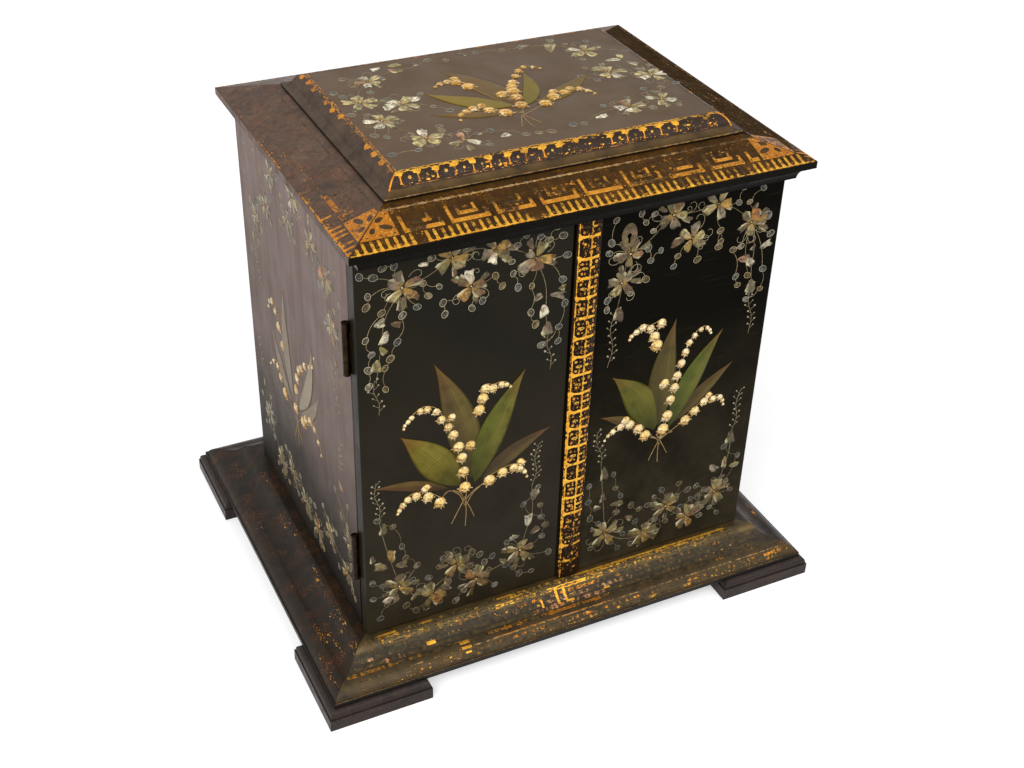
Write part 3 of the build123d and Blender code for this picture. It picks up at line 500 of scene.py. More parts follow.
class Piece:
    """Gathers closed shapes as whole arrays and makes one mesh of them, each shape turned to face outwards."""

    def __init__(self, name):
        self.name, self.points, self.faces, self.trace, self.tones, self.count = name, [], [], [], [], 0

    def add(self, points, faces, trace, tones):
        """points k x n x 3 with the same faces for each of k shapes; trace k x n x 2; tones 4, k x 4 or k x n x 4."""
        many, each = points.shape[:2]
        centred = points - points.mean(1, keepdims=True)
        volume = np.zeros(many)
        for group in faces:
            for i in range(1, group.shape[1] - 1):
                a, b, c = (centred[:, group[:, j]] for j in (0, i, i + 1))
                volume += np.einsum("kfi,kfi->k", a, np.cross(b, c))
        first = self.count + each * np.arange(many)[:, None, None]
        for group in faces:
            for part, turned in ((volume >= 0, group), (volume < 0, group[:, ::-1])):
                if part.any():
                    self.faces.append((first[part] + turned).reshape(-1, group.shape[1]))
        tones = np.asarray(tones, float)
        tones = np.broadcast_to(tones[:, None] if tones.ndim == 2 else tones, (many, each, 4))
        self.points.append(points.reshape(-1, 3))
        self.trace.append(np.broadcast_to(trace, (many, each, 2)).reshape(-1, 2))
        self.tones.append(tones.reshape(-1, 4))
        self.count += many * each

    def make(self, material, body, slot, smooth=True):
        mesh = bpy.data.meshes.new(self.name)
        corners = np.concatenate([f.ravel() for f in self.faces])
        sizes = np.concatenate([np.full(len(f), f.shape[1]) for f in self.faces])
        mesh.vertices.add(self.count)
        mesh.vertices.foreach_set("co", (np.concatenate(self.points) * MM).ravel().astype(np.float32))
        mesh.loops.add(len(corners))
        mesh.loops.foreach_set("vertex_index", corners.astype(np.int32))
        mesh.polygons.add(len(sizes))
        mesh.polygons.foreach_set("loop_start", np.concatenate([[0], np.cumsum(sizes)[:-1]]).astype(np.int32))
        mesh.polygons.foreach_set("use_smooth", np.full(len(sizes), smooth))
        mesh.update(calc_edges=True)
        layer = mesh.uv_layers.new(name="trace")
        layer.data.foreach_set("uv", np.concatenate(self.trace)[corners].ravel().astype(np.float32))
        colour = mesh.color_attributes.new("tone", "FLOAT_COLOR", "POINT")
        colour.data.foreach_set("color", np.concatenate(self.tones).ravel().astype(np.float32))
        mesh.materials.append(material)
        thing = link(bpy.data.objects.new(self.name, mesh))
        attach(thing, body)
        return thing


def raise_bosses(piece, surface, outlines, height, tones, trace=0.0, shoulder=0.62, rim=0.4, sunk=0.12):
    """Each outline (k x n x 2) becomes a low boss: its middle at full height, a ring drawn in to shoulder of the
    outline just below, the outline itself at rim of the height, and the same outline sunk under the surface."""
    outlines = np.asarray(outlines, float)
    trace = np.broadcast_to(trace, outlines.shape)
    many, n = outlines.shape[:2]
    height = np.broadcast_to(np.asarray(height, float), many)[:, None]
    middle = outlines.mean(1, keepdims=True)
    flat = np.concatenate([middle, middle + (outlines - middle) * shoulder, outlines, outlines, middle], 1)
    levels = np.concatenate([[1.05], np.full(n, 0.94), np.full(n, rim)])[None] * height
    levels = np.concatenate([levels, np.full((many, n + 1), -sunk)], 1)
    heart = trace.mean(1, keepdims=True)
    marks = np.concatenate([heart, heart + (trace - heart) * shoulder, trace, trace, heart], 1)
    piece.add(surface.lay(flat[..., 0], flat[..., 1], levels), stack_faces(n, 3), marks, tones)


def lay_ridges(piece, surface, paths, widths, height, tones, closed=False):
    """Each path (k x m x 2) carries a low ridge: four points across it, its sides sloping in to half the width on top.
    widths is one number, one for each path, or rows with one for each point. Along and across are kept as the trace."""
    paths = np.asarray(paths, float)
    many, stations = paths.shape[:2]
    if closed:
        way = np.roll(paths, -1, 1) - np.roll(paths, 1, 1)
    else:
        way = np.gradient(paths, axis=1)
    way /= np.maximum(np.linalg.norm(way, axis=2, keepdims=True), 1e-9)
    widths = np.asarray(widths, float)
    widths = np.broadcast_to(widths.reshape(-1, 1) if widths.ndim < 2 else widths, (many, stations))
    off = np.array([-0.5, -0.28, 0.28, 0.5])
    flat = paths[:, :, None] + left_of(way)[:, :, None] * (widths[..., None] * off)[..., None]
    levels = np.broadcast_to(np.array([-0.1, height, height, -0.1]), flat.shape[:3])
    tones = np.asarray(tones, float)
    if tones.ndim == 3:
        tones = np.repeat(tones, 4, axis=1)
    run = np.concatenate([np.zeros((many, 1)), np.cumsum(np.linalg.norm(np.diff(paths, axis=1), axis=2), 1)], 1)
    marks = np.stack(np.broadcast_arrays(run[..., None] * 0.1, off * 2), -1)
    piece.add(surface.lay(flat[..., 0], flat[..., 1], levels).reshape(many, -1, 3), bar_faces(stations, 4, closed),
              marks.reshape(many, -1, 2), tones)


def smooth_line(points, count):
    """A curve through the points: on each span the cubic whose end slopes follow the neighbouring points."""
    points = np.array(points, float)
    ends = np.concatenate([[2 * points[0] - points[1]], points, [2 * points[-1] - points[-2]]])
    place = np.linspace(0, len(points) - 1, count)
    span = np.minimum(place.astype(int), len(points) - 2)
    s = (place - span)[:, None]
    a, b, c, d = (ends[span + i] for i in range(4))
    return 0.5 * (2 * b + (c - a) * s + (2 * a - 5 * b + 4 * c - d) * s ** 2 + (3 * b - a - 3 * c + d) * s ** 3)


# Tones of the pearl slips, by the letter that the lists below use
PEARL = {letter: ink(*tone) for letter, tone in {
    "w": (240, 230, 200), "c": (184, 166, 108), "g": (184, 138, 54), "o": (122, 110, 60), "k": (164, 112, 78),
    "s": (138, 126, 104), "n": (120, 116, 66), "a": (198, 120, 40), "d": (62, 50, 30), "b": (104, 70, 38),
}.items()}


def petals(piece, surface, centres, turns, lengths, widths, tones, height=0.22):
    """Slips of pearl round a flower's heart. Seen flat, an outline is a superellipse run from 0.1 of the length to
    the tip, narrowed toward the heart, with each point moved a little so that no two slips are alike."""
    count = 12
    turn = np.linspace(0, 2 * np.pi, count, endpoint=False) + np.pi / count
    c, s = np.cos(turn), np.sin(turn)
    along = 0.5 - 0.5 * np.sign(c) * np.abs(c) ** 0.7
    across = 0.5 * np.sign(s) * np.abs(s) ** 0.7 * (0.3 + 0.7 * along ** 0.7)
    centres, turns, lengths, widths = (np.asarray(v, float) for v in (centres, turns, lengths, widths))
    ragged = 1 + 0.15 * chance.standard_normal((len(centres), count))
    lean = 0.18 * chance.standard_normal((len(centres), 1))
    x = lengths[:, None] * (0.1 + 0.9 * along * (1 + 0.55 * (ragged - 1)))
    y = widths[:, None] * (across * ragged + lean * along)
    way = ways(turns)[:, None]
    outline = centres[:, None] + x[..., None] * way + y[..., None] * left_of(way)
    raise_bosses(piece, surface, outline, height, tones, np.stack([along, across * 2], -1))


def hearts_of(flowers):
    """Where the flowers of more than one petal are."""
    return np.array([(u, v) for u, v, _, _, letters in flowers if len(letters) > 1], float)


def lay_flowers(piece, surface, flowers, shade, face):
    """Each flower is (across, down, radius, first petal's bearing in degrees, a letter for each petal's tone). Dim
    leaves lie lower between the petals, where they stay on the face (least and greatest across and down)."""
    centres, turns, lengths, widths, tones = [], [], [], [], []
    for u, v, radius, bearing, letters in flowers:
        single = len(letters) == 1
        for i, letter in enumerate(letters):
            turns.append(math.radians(bearing + i * 360 / len(letters) + (0 if single else chance.normal(0, 5))))
            centres.append((u, v))
            lengths.append(radius * chance.uniform(0.84, 1.14))
            widths.append(radius * (chance.uniform(0.55, 0.8) if single else chance.uniform(0.58, 0.92)))
            tones.append(PEARL[letter] * dimmed(shade * chance.uniform(0.5, 1.2), 0 if single else 1))
    petals(piece, surface, centres, turns, lengths, widths, tones)
    hearts = hearts_of(flowers)
    root = np.repeat(hearts, 3, axis=0)
    bearing = chance.uniform(0, 2 * np.pi, len(root))
    root = root + 4.5 * ways(bearing)
    reach = chance.uniform(6.5, 9.0, len(root))
    kept = inside(root + reach[:, None] * ways(bearing), face)
    dim = np.array([PEARL[letter] for letter in "dob"])[chance.integers(0, 3, len(root))] * dimmed(0.6 * shade, 0)
    petals(piece, surface, root[kept], bearing[kept], reach[kept], reach[kept] * 0.55, dim[kept], height=0.1)
    raise_bosses(piece, surface, hearts[:, None] + 0.6 * circle(8), 0.4, PEARL["g"] * dimmed(shade, 0),
                 circle(8) * 0.2 + 0.8)


def inside(points, face):
    """Which points lie on the face, (least across, least down, greatest across, greatest down)."""
    least, greatest = np.array(face[:2]) + 1.5, np.array(face[2:]) - 1.5
    return ((points > least) & (points < greatest)).all(-1)


def lay_tendrils(piece, surface, flowers, shade, face):
    """Four pale curls from each flower. A curl's heading turns by k s s along it, so it tightens toward its end."""
    hearts = np.repeat(hearts_of(flowers), 4, axis=0)
    many, stations = len(hearts), 14
    start = chance.uniform(0, 2 * np.pi, many)
    s = np.linspace(0, 1, stations)
    heading = start[:, None] + (chance.choice([-1, 1], many) * chance.uniform(3.5, 6.0, many))[:, None] * s ** 2
    step = chance.uniform(8, 15, many)[:, None] / (stations - 1)
    path = np.cumsum(ways(heading) * step[..., None], 1) + (hearts + 5.5 * ways(start))[:, None]
    path = path[inside(path, face).all(1)]
    lay_ridges(piece, surface, path, 0.28, 0.1, ink(172, 158, 124) * dimmed(shade * 0.9))


def lay_rings(piece, surface, places, hearts, shade, disc_shade):
    """Small round leaves: a dim oval, a pale line round it and a curl inside, each joined by a thin curved stalk to
    the nearest flower, or to a nearer ring on the way to one."""
    places = np.array(places, float)
    many = len(places)
    size = 2.0 * chance.uniform(0.82, 1.15, many)
    dim, pale, line = (
        np.array([dimmed(shade) * ink(*tone) for tone in tones])
        for tones in (((44, 38, 28), (54, 44, 28), (40, 40, 34)), ((186, 176, 146), (178, 156, 108), (158, 156, 142)),
                      ((160, 142, 98), (140, 122, 84))))
    pick = chance.integers(0, 3, many)
    lean = ways(chance.uniform(0, np.pi, many))[:, None]
    oval = circle(12) * [1.1, 0.86]
    disc = places[:, None] + (oval[:, :1] * lean + oval[:, 1:] * left_of(lean)) * size[:, None, None]
    raise_bosses(piece, surface, disc, 0.07, dim[pick] * dimmed(disc_shade), circle(12))
    lay_ridges(piece, surface, disc, 0.34, 0.13, pale[pick], closed=True)
    sweep = chance.uniform(0, 2 * np.pi, many)[:, None] + np.linspace(0, 4.2, 7)
    curl = places[:, None] + (size[:, None] * np.linspace(0.62, 0.2, 7))[..., None] * ways(sweep)
    lay_ridges(piece, surface, curl, 0.26, 0.12, pale[pick] * dimmed(0.7))
    to_heart = np.linalg.norm(places[:, None] - hearts, axis=2)
    between = np.linalg.norm(places[:, None] - places, axis=2)
    nearer = to_heart.min(1)[None] < to_heart.min(1)[:, None] - 2
    between = np.where(nearer & (between > 0.1), between, np.inf)
    by_ring = between.min(1) < to_heart.min(1) * 0.6
    goal = np.where(by_ring[:, None], places[between.argmin(1)], hearts[to_heart.argmin(1)])
    way = goal - places
    reach = np.maximum(np.linalg.norm(way, axis=1, keepdims=True), 1e-6)
    way /= reach
    begin, end = places + way * size[:, None], goal - way * np.minimum(2.0, reach * 0.3)
    s = np.linspace(0, 1, 7)[None, :, None]
    bow = (chance.choice([-1, 1], many) * chance.uniform(0.12, 0.28, many))[:, None] * reach
    path = begin[:, None] * (1 - s) + end[:, None] * s + (left_of(way) * bow)[:, None] * 2 * s * (1 - s)
    lay_ridges(piece, surface, path, 0.28, 0.1, line[pick % 2])


def lay_sprigs(piece, surface, sprigs, shade):
    """Trailing ends of a garland: a bent stalk with short side twigs in turn, each ending in a bead."""
    stalk, bead = ink(138, 122, 92) * dimmed(shade), ink(162, 152, 124) * dimmed(shade)
    for first, last, twigs in sprigs:
        first, last = np.array(first, float), np.array(last, float)
        side = left_of(last - first)
        line = smooth_line([first, (first * 2 + last) / 3 + side * 0.05, (first + last * 2) / 3 - side * 0.04, last],
                           14)
        lay_ridges(piece, surface, line[None], 0.34, 0.1, stalk)
        at = np.linspace(0.04, 0.9, twigs)
        root = np.stack([np.interp(at, np.linspace(0, 1, 14), line[:, i]) for i in (0, 1)], -1)
        lean = np.where(np.arange(twigs) % 2, 1.0, -1.0)[:, None] * side / np.linalg.norm(side)
        back = (first - last) / np.linalg.norm(last - first)
        tip = root + (lean + back * 0.8) * chance.uniform(1.4, 3.0, (twigs, 1))
        lay_ridges(piece, surface, np.stack([root, (root + tip) / 2 + lean * 0.3, tip], 1), 0.28, 0.1, stalk)
        blob = tip[:, None] + circle(7) * chance.uniform(0.4, 0.75, (twigs, 1, 1))
        raise_bosses(piece, surface, blob, 0.18, bead, circle(7))


def lay_lines(piece, surface, lines, width, height, tone):
    """Stalks through given points, tapering a little to their far end."""
    paths = np.stack([smooth_line(line, 18) for line in lines])
    lay_ridges(piece, surface, paths, np.linspace(width, width * 0.6, 18)[None], height, ink(*tone))


def lay_leaves(piece, surface, leaves, thick):
    """Each leaf is (tip, base, width, bend, tone). The midrib is a parabola bowed by bend. Half the width follows
    s^0.9 (1 - s)^1.3, which draws the tip out, and the section is a low arch grooved at the midrib, closed below."""
    stations = 19
    s = np.linspace(0.0, 1.0, stations)
    over = np.linspace(-1, 1, 9)
    arch = 0.05 + 0.16 * (1 - over ** 2) - 0.07 * np.exp(-(over / 0.12) ** 2)
    under = np.array([0.6, 0.0, -0.6])
    for order, (tip, base, width, bend, tone) in enumerate(leaves):
        tip, base = np.array(tip, float), np.array(base, float)
        axis = tip - base
        side = left_of(axis) / np.linalg.norm(axis)
        rib = base + s[:, None] * axis + (4 * bend * s * (1 - s))[:, None] * side
        way = np.gradient(rib, axis=0)
        way /= np.linalg.norm(way, axis=1, keepdims=True)
        half = width / 2 * np.maximum(s ** 0.9 * (1 - s) ** 1.3 / 0.2257, 0.015)
        offs = np.concatenate([over, under])
        flat = rib[:, None] + left_of(way)[:, None] * (half[:, None] * offs)[..., None]
        levels = np.concatenate([arch + 0.05 * order, np.full(3, -0.1)]) + np.zeros((stations, 1))
        thin = np.minimum(1, half / (0.15 * width))[:, None]
        levels = np.where(levels > 0, levels * (0.5 + 0.5 * thin), levels)
        marks = np.stack(np.broadcast_arrays(s[:, None], offs), -1)
        paint = np.array(linear(*tone)[:3] + (thick * min(1.0, max(tone) / 110) ** 2,))
        piece.add(surface.lay(flat[..., 0], flat[..., 1], levels).reshape(1, -1, 3), bar_faces(stations, len(offs)),
                  marks.reshape(1, -1, 2), paint[None])


def lay_bells(piece, stalks, surface, arches, tone):
    """Bell flowers hung along arches, each arch from its stalk to its tip. The largest bell is at the stalk, where
    they are also more orange. An outline is a circle whose lower half is drawn out into five frills, and the larger
    bells have white hairs at the lip. The bell hangs away from the arch's bend."""
    biggest, least = 3.1, 0.75
    turn = np.linspace(0, 2 * np.pi, 16, endpoint=False)
    radius = 1 + np.maximum(-np.cos(turn), 0) ** 0.6 * (0.10 + 0.13 * np.cos(5 * turn))
    x, y = radius * np.sin(turn), -radius * np.cos(turn)
    trace = np.stack([np.clip(0.5 + 0.5 * y / 1.1, 0, 1), x], -1)
    for points, low, high in arches:
        points = np.array(points, float)
        many = len(points)
        size = biggest * (high + (low - high) * np.linspace(0, 1, many) ** 1.25) * chance.uniform(0.94, 1.08, many)
        size = np.maximum(size, least)[:, None]
        way = np.gradient(points, axis=0)
        way /= np.maximum(np.linalg.norm(way, axis=1, keepdims=True), 1e-9)
        down = np.array([0.0, 1.0]) + 0.5 * np.stack([-np.abs(way[:, 1]), np.abs(way[:, 0])], -1)
        down /= np.linalg.norm(down, axis=1, keepdims=True)
        side = left_of(down)
        outline = points[:, None] + size[..., None] * (x[:, None] * side[:, None] + y[:, None] * down[:, None])
        glow = np.linspace(1, 0, many)[:, None] ** 2 * [0.03, 0.17, 0.5, 0]
        shade = ink(*tone) * (1 - glow)
        shade[:, :3] *= chance.uniform(0.85, 1.08, (many, 1))
        raise_bosses(piece, surface, outline, 0.55 * size[:, 0] ** 0.5, shade, trace, shoulder=0.6, rim=0.45)
        big = size[:, 0] > 1.6
        if big.any():
            lean = np.radians([-80, -35, 10, 50]) + chance.normal(0, 0.22, (big.sum(), 4))
            out = np.cos(lean)[..., None] * down[big][:, None] + np.sin(lean)[..., None] * side[big][:, None]
            root = points[big][:, None] + out * (size[big] * 0.8)[..., None]
            tip = out * (size[big] * 1.25)[..., None] * chance.uniform(0.95, 1.2, lean.shape)[..., None]
            tip += points[big][:, None]
            hairs = np.stack([root, (root + tip) / 2 + 0.12, tip], 2).reshape(-1, 3, 2)
            lay_ridges(piece, surface, hairs, [[0.9, 0.7, 0.3]], 0.34, ink(246, 226, 176))
        if many > 2:
            lay_ridges(stalks, surface, smooth_line(points - down * size * 0.9, 24)[None], 0.45, 0.14,
                       ink(176, 140, 78))


# The ornament of each surface, in millimetres across and down. Flowers: place, radius, bearing, tones. Bells: an arch
# of places, with the sizes at its tip and at its stalk. Leaves: tip, foot, width, bend, tone. Sprigs: foot, end, twigs.
left_flowers = [
    (25, 19, 9.4, -95, "skgcs"), (52, 8, 9.6, -65, "sgcog"), (76, 9.5, 9.4, -40, "gowso"),
    (62.5, 27, 9.2, -90, "wbkgb"), (99, 19, 9.2, -65, "ogbss"), (33, 8.5, 6.0, 0, "w"), (9, 38, 8, -15, "w"),
    (18, 38, 8, 22, "b"), (16.5, 41, 8.5, 92, "w"), (12, 50, 6.5, 60, "o"), (11, 57, 10, 96, "c"),
    (98, 45, 7.5, -35, "s"), (107, 42, 9, 30, "s"), (104, 47, 8, 75, "w"), (107.5, 58, 11, 92, "s"),
    (112, 40, 5, 10, "o"),
]
left_rings = [
    (15, 6), (10, 10), (21, 6), (93, 4), (101, 7), (106, 10), (114, 9), (85, 18), (7, 20), (6, 26), (14, 31),
    (33, 32), (39, 27), (45, 23), (47, 33), (48, 40), (25, 35), (63, 40), (69, 37), (76, 24), (86, 25), (80, 31),
    (89, 34), (97, 35), (115, 35), (117, 21), (5, 45), (8, 54), (18, 59), (15, 77), (6, 73), (22, 50), (6, 63),
    (15, 64), (97, 51), (100, 59), (104, 73), (114, 73), (114, 64), (117, 50), (3, 8), (60, 3), (110, 3), (88, 9),
    (41, 6), (36, 19),
]
left_low_flowers = [
    (20, 214, 9.4, -80, "oogoo"), (40, 228, 9.4, -90, "ogaoc"), (56, 210, 9.0, -80, "ooogo"),
    (68, 226, 9.2, -80, "cogoa"), (82, 216, 6.5, 30, "o"), (30, 222, 6.5, 100, "n"), (48, 218, 6, 60, "g"),
    (96, 214, 9.2, -75, "cgosg"), (18, 220, 8.5, 160, "w"), (16, 196, 10, -88, "g"), (14, 198, 9.5, -160, "c"),
    (17, 198, 8, -10, "o"), (12, 164, 8.5, 95, "n"), (96, 203, 8, 190, "w"), (101, 204, 9, -20, "b"),
    (100.5, 199, 10, -95, "w"), (103, 180, 9, -85, "s"), (4, 185, 6, 80, "d"),
]
left_low_rings = [
    (31, 202), (47, 203), (57, 205), (65, 204), (38, 214), (32, 222), (78, 212), (73, 215), (87, 205), (109, 193),
    (115, 222), (8, 234), (80, 235), (104, 233), (10, 210), (4, 218), (22, 185), (17, 169), (8, 162), (106, 170),
    (97, 180), (108, 184), (87, 222), (55, 238), (24, 230), (12, 225), (50, 222), (110, 208), (28, 212), (45, 208),
    (64, 214), (30, 236), (76, 222), (92, 226), (60, 232), (4, 206), (24, 194), (96, 232), (112, 200), (70, 208),
]
left_bells = [
    ([(60, 155), (59, 144), (58, 134), (56, 126), (53, 117), (50, 111), (46, 105), (43, 99), (38, 96), (34, 96),
    (29, 99), (27, 101), (25, 103), (24.5, 105)], 0.26, 1.12), ([(63, 127), (52, 105)], 0.7, 0.95),
    ([(68, 105), (70, 98), (71.5, 92), (76, 93), (81, 92), (84, 93), (86.5, 95)], 0.3, 1.1),
    ([(45, 161), (38, 155), (31, 152), (26, 153), (23, 156), (21, 159), (20, 161)], 0.28, 1.05),
    ([(37, 148), (36, 149)], 0.7, 0.75),
    ([(75, 155), (83, 152), (90, 151), (94, 153), (97, 156), (98.5, 160)], 0.28, 1.1),
    ([(94, 148), (95, 149)], 0.65, 0.7),
]
left_leaves = [
    ((112, 129), (70, 153), 11, -2, (74, 58, 40)), ((6, 140), (50, 153), 7.5, 2, (80, 54, 32)),
    ((42, 69), (64, 150), 20, 4, (84, 70, 40)), ((22.5, 110), (57, 153), 20.5, 1.5, (108, 98, 30)),
    ((95, 86), (66, 154), 17.5, -3, (92, 94, 36)),
]
left_stalks = [
    [(60, 165), (57, 158), (50, 155), (45, 160)], [(60, 165), (61, 160), (60, 154)],
    [(60, 165), (66, 159), (75, 155)], [(60, 163), (56, 171), (52, 179)], [(60, 162), (61, 172), (60.5, 183)],
    [(58, 160), (63, 170), (66, 178)], [(52, 155), (57, 160), (60, 168)], [(70, 157), (65, 161), (61, 168)],
]
left_sprigs = [
    ((9, 70), (11, 92), 9), ((108, 66), (110, 90), 9), ((8, 136), (9, 163), 13), ((106, 138), (102, 168), 16),
]
left_lines = [
    [(25, 20), (16, 34), (13, 52), (10, 72)], [(99, 20), (105, 36), (106, 55), (108, 68)],
    [(25, 20), (38, 16), (52, 9), (66, 6), (76, 10), (88, 12), (99, 19)], [(9, 163), (12, 180), (16, 197), (20, 213)],
    [(102, 168), (103, 186), (99, 202), (96, 214)], [(20, 214), (32, 225), (48, 218), (56, 210)],
    [(56, 210), (62, 220), (80, 222), (96, 214)],
]
right_flowers = [
    (62, 11, 9.2, -125, "ogcsd"), (90, 10, 9.4, -60, "cgscs"), (75.5, 28, 9.2, -90, "sccgc"),
    (113, 26, 9.6, -60, "agcdo"), (37, 29, 8.6, -50, "bkodd"), (33, 46, 8.2, -20, "skcss"), (120, 44, 8, -5, "w"),
    (106, 48, 8, 8, "k"), (113, 47, 8.5, 70, "w"), (118, 40, 6, 120, "d"), (33, 60, 11, 100, "d"),
    (118, 62, 10, 88, "s"),
]
right_rings = [
    (42, 6), (45, 12), (27, 7), (25, 20), (24, 26), (50, 8), (50, 18), (48, 28), (50, 36), (56, 31), (25, 55),
    (25, 61), (39, 54), (48, 47), (65, 43), (67, 37), (80, 42), (93, 27), (94, 34), (103, 41), (108, 40), (127, 36),
    (110, 13), (103, 12), (105, 3), (118, 6), (109, 65), (107, 59), (115, 60), (125, 58), (125, 71), (116, 76),
    (93, 37), (124, 24),
]
right_low_flowers = [
    (35, 221, 9.6, -95, "ccgoc"), (62, 230, 9.4, -85, "cogdo"), (77, 214, 9.2, -90, "oggoo"),
    (93, 228, 9.4, -80, "caaog"), (48, 212, 7, 40, "o"), (70, 226, 6.5, 160, "g"), (102, 220, 6.5, 20, "n"),
    (84, 208, 6, 80, "o"), (112, 214, 9.6, -80, "cgcos"), (31, 168, 11, 88, "d"), (32, 188, 8, 90, "d"),
    (36, 200, 9, 0, "o"), (32, 200, 7, 180, "d"), (106, 191, 8.5, 50, "w"), (117, 187, 9, 95, "c"),
    (120, 197, 7, 0, "c"), (119, 168, 12, 95, "d"),
]
right_low_rings = [
    (44, 195), (40, 188), (38, 177), (52, 205), (73, 200), (85, 199), (98, 205), (64, 209), (22, 181), (22, 193),
    (115, 180), (42, 207), (104, 210), (70, 222), (84, 208), (95, 214), (48, 226), (103, 230), (24, 206), (126, 190),
    (45, 236), (116, 232), (56, 219), (40, 230), (30, 212), (68, 204), (58, 210), (92, 206), (78, 226), (104, 222),
    (120, 208), (124, 216), (110, 226), (26, 230), (88, 218), (54, 236), (72, 232), (100, 214),
]
right_bells = [
    ([(69, 153), (71, 144), (72, 133), (74, 125), (75, 117), (77, 109), (79, 102), (81, 96), (84, 92), (88, 89),
    (92, 89), (94, 91), (95, 93)], 0.27, 1.15), ([(67, 120), (66, 121)], 0.85, 0.9),
    ([(59, 92), (57, 86), (61, 78), (54, 80), (49, 78), (45, 80), (42, 82), (41, 84)], 0.3, 1.15),
    ([(57, 154), (52, 148), (46, 143), (40, 143), (35, 145), (32, 147), (30, 150)], 0.28, 1.1),
    ([(43, 139), (42, 140)], 0.65, 0.75),
    ([(84, 151), (90, 146), (96, 141), (102, 141), (107, 141), (109, 144), (110, 147)], 0.28, 1.1),
    ([(99, 137), (98, 138)], 0.5, 0.6),
]
right_leaves = [
    ((113, 117), (76, 150), 10, -1, (78, 62, 34)), ((26, 133), (58, 152), 8, 2, (80, 58, 34)),
    ((70.5, 77.5), (66, 150), 18, -3, (74, 64, 34)), ((32, 107), (63, 152), 20, 4, (88, 88, 30)),
    ((103, 92), (73, 153), 14.5, -3.2, (82, 90, 34)),
]
right_stalks = [
    [(67, 161), (63, 157), (57, 154)], [(67, 161), (68, 157), (69, 153)], [(67, 161), (75, 156), (84, 151)],
    [(69, 157), (65, 165), (61, 174)], [(67, 158), (67, 168), (67.5, 177)], [(65, 156), (70, 165), (73.5, 172)],
    [(61, 157), (65, 159), (68, 164)], [(76, 157), (70, 158), (66, 163)],
]
right_sprigs = [
    ((31, 62), (28, 99), 15), ((119, 66), (121, 100), 15), ((25, 142), (29, 168), 12), ((122, 139), (119, 170), 14),
]
right_lines = [
    [(37, 29), (34, 40), (33, 52), (31, 64)], [(113, 27), (117, 42), (117, 56), (119, 68)],
    [(45, 26), (52, 20), (62, 11), (76, 12), (90, 10), (102, 16), (113, 26)],
    [(29, 168), (31, 186), (33, 202), (35, 221)], [(119, 170), (119, 186), (116, 200), (112, 214)],
    [(35, 221), (48, 230), (62, 230), (77, 215)], [(77, 215), (88, 224), (100, 222), (112, 214)],
]
lid_flowers = [
    (54, 6, 7, 170, "w"), (57, 6, 8.5, 0, "c"), (56, 9, 8, 60, "k"), (40, 22, 8.5, -100, "wccwk"),
    (26, 47, 9.4, -88, "ccccc"), (46, 57, 9.2, -115, "wcccw"), (51, 56, 8.4, -30, "w"), (42, 58, 8.4, 175, "w"),
    (28, 73, 9.4, -88, "cccww"), (41, 101, 9.6, -85, "wcccc"), (58, 110, 8.6, -95, "kwc"), (76, 114, 8, -15, "w"),
    (132, 112, 8, 5, "w"), (157, 106, 9, -85, "kccw"), (150, 111, 9, -5, "w"), (178, 104, 9, -60, "cwcw"),
    (190, 73, 9.4, -65, "cwcwc"), (170, 60, 9.2, -70, "ccwcc"), (175, 45, 8.5, 0, "w"), (186, 46, 7, -80, "c"),
    (186, 50, 8, 50, "s"), (172, 27, 9, -75, "ccccw"), (152, 24, 15, -62, "c"), (147, 8, 9, 175, "s"),
    (158, 12, 9, -70, "o"), (70, 8, 6, 10, "d"), (100, 4, 6, 15, "d"),
]
lid_rings = [
    (17, 30), (20, 36), (36, 36), (60, 48), (16, 60), (60, 66), (66, 74), (18, 88), (23, 92), (53, 90), (52, 95),
    (68, 120), (32, 112), (75, 105), (90, 116), (97, 117), (118, 115), (124, 116), (144, 100), (168, 112), (183, 114),
    (196, 60), (160, 50), (158, 68), (197, 88), (186, 90), (165, 38), (194, 36), (140, 8), (82, 6), (92, 10),
    (48, 20), (28, 14), (62, 14), (180, 14), (166, 14), (152, 60), (104, 118), (64, 100), (18, 112), (176, 88),
    (128, 8), (112, 6),
]
lid_bells = [
    ([(104, 82), (106, 72), (108, 64), (110, 58), (113, 53), (118, 46), (123, 40), (128, 36), (133, 38), (136, 41)],
    0.34, 1.25), ([(101, 65), (100, 66)], 0.95, 1.0),
    ([(88, 49), (84, 42), (85, 37), (80, 39), (75, 40), (71, 43)], 0.35, 1.2),
    ([(92, 88), (85, 82), (78, 77), (73, 79), (69, 82), (66, 88)], 0.35, 1.2), ([(84, 75), (83, 76)], 0.7, 0.75),
    ([(117, 85), (125, 79), (133, 76), (138, 73), (143, 75), (146, 79), (148, 84)], 0.35, 1.2),
    ([(128, 73), (127, 74)], 0.75, 0.8),
]
lid_leaves = [
    ((82, 24), (104, 80), 17, 3, (110, 84, 48)), ((158, 57), (112, 85), 12, 2, (112, 90, 44)),
    ((54, 76), (96, 88), 8, -2, (116, 88, 44)), ((62, 50), (100, 82), 14, -2, (134, 112, 40)),
    ((124, 42), (106, 84), 10, 4, (120, 104, 36)),
]
lid_stalks = [
    [(100, 94), (98, 90), (92, 88)], [(100, 94), (102, 88), (104, 82)], [(100, 94), (108, 90), (117, 85)],
    [(101, 90), (96, 99), (92, 108)], [(100, 90), (98, 100), (98, 110)], [(99, 91), (101, 99), (104, 107)],
    [(98, 78), (92, 62), (88, 49)], [(108, 72), (120, 84), (125, 79)],
]
lid_lines = [
    [(40, 22), (30, 34), (26, 47), (30, 60), (28, 73), (34, 88), (41, 101), (50, 108), (58, 110)], [(157, 107),
    (168, 106), (178, 104), (186, 88), (190, 73), (178, 64), (170, 60), (176, 48), (180, 40), (172, 27)],
]
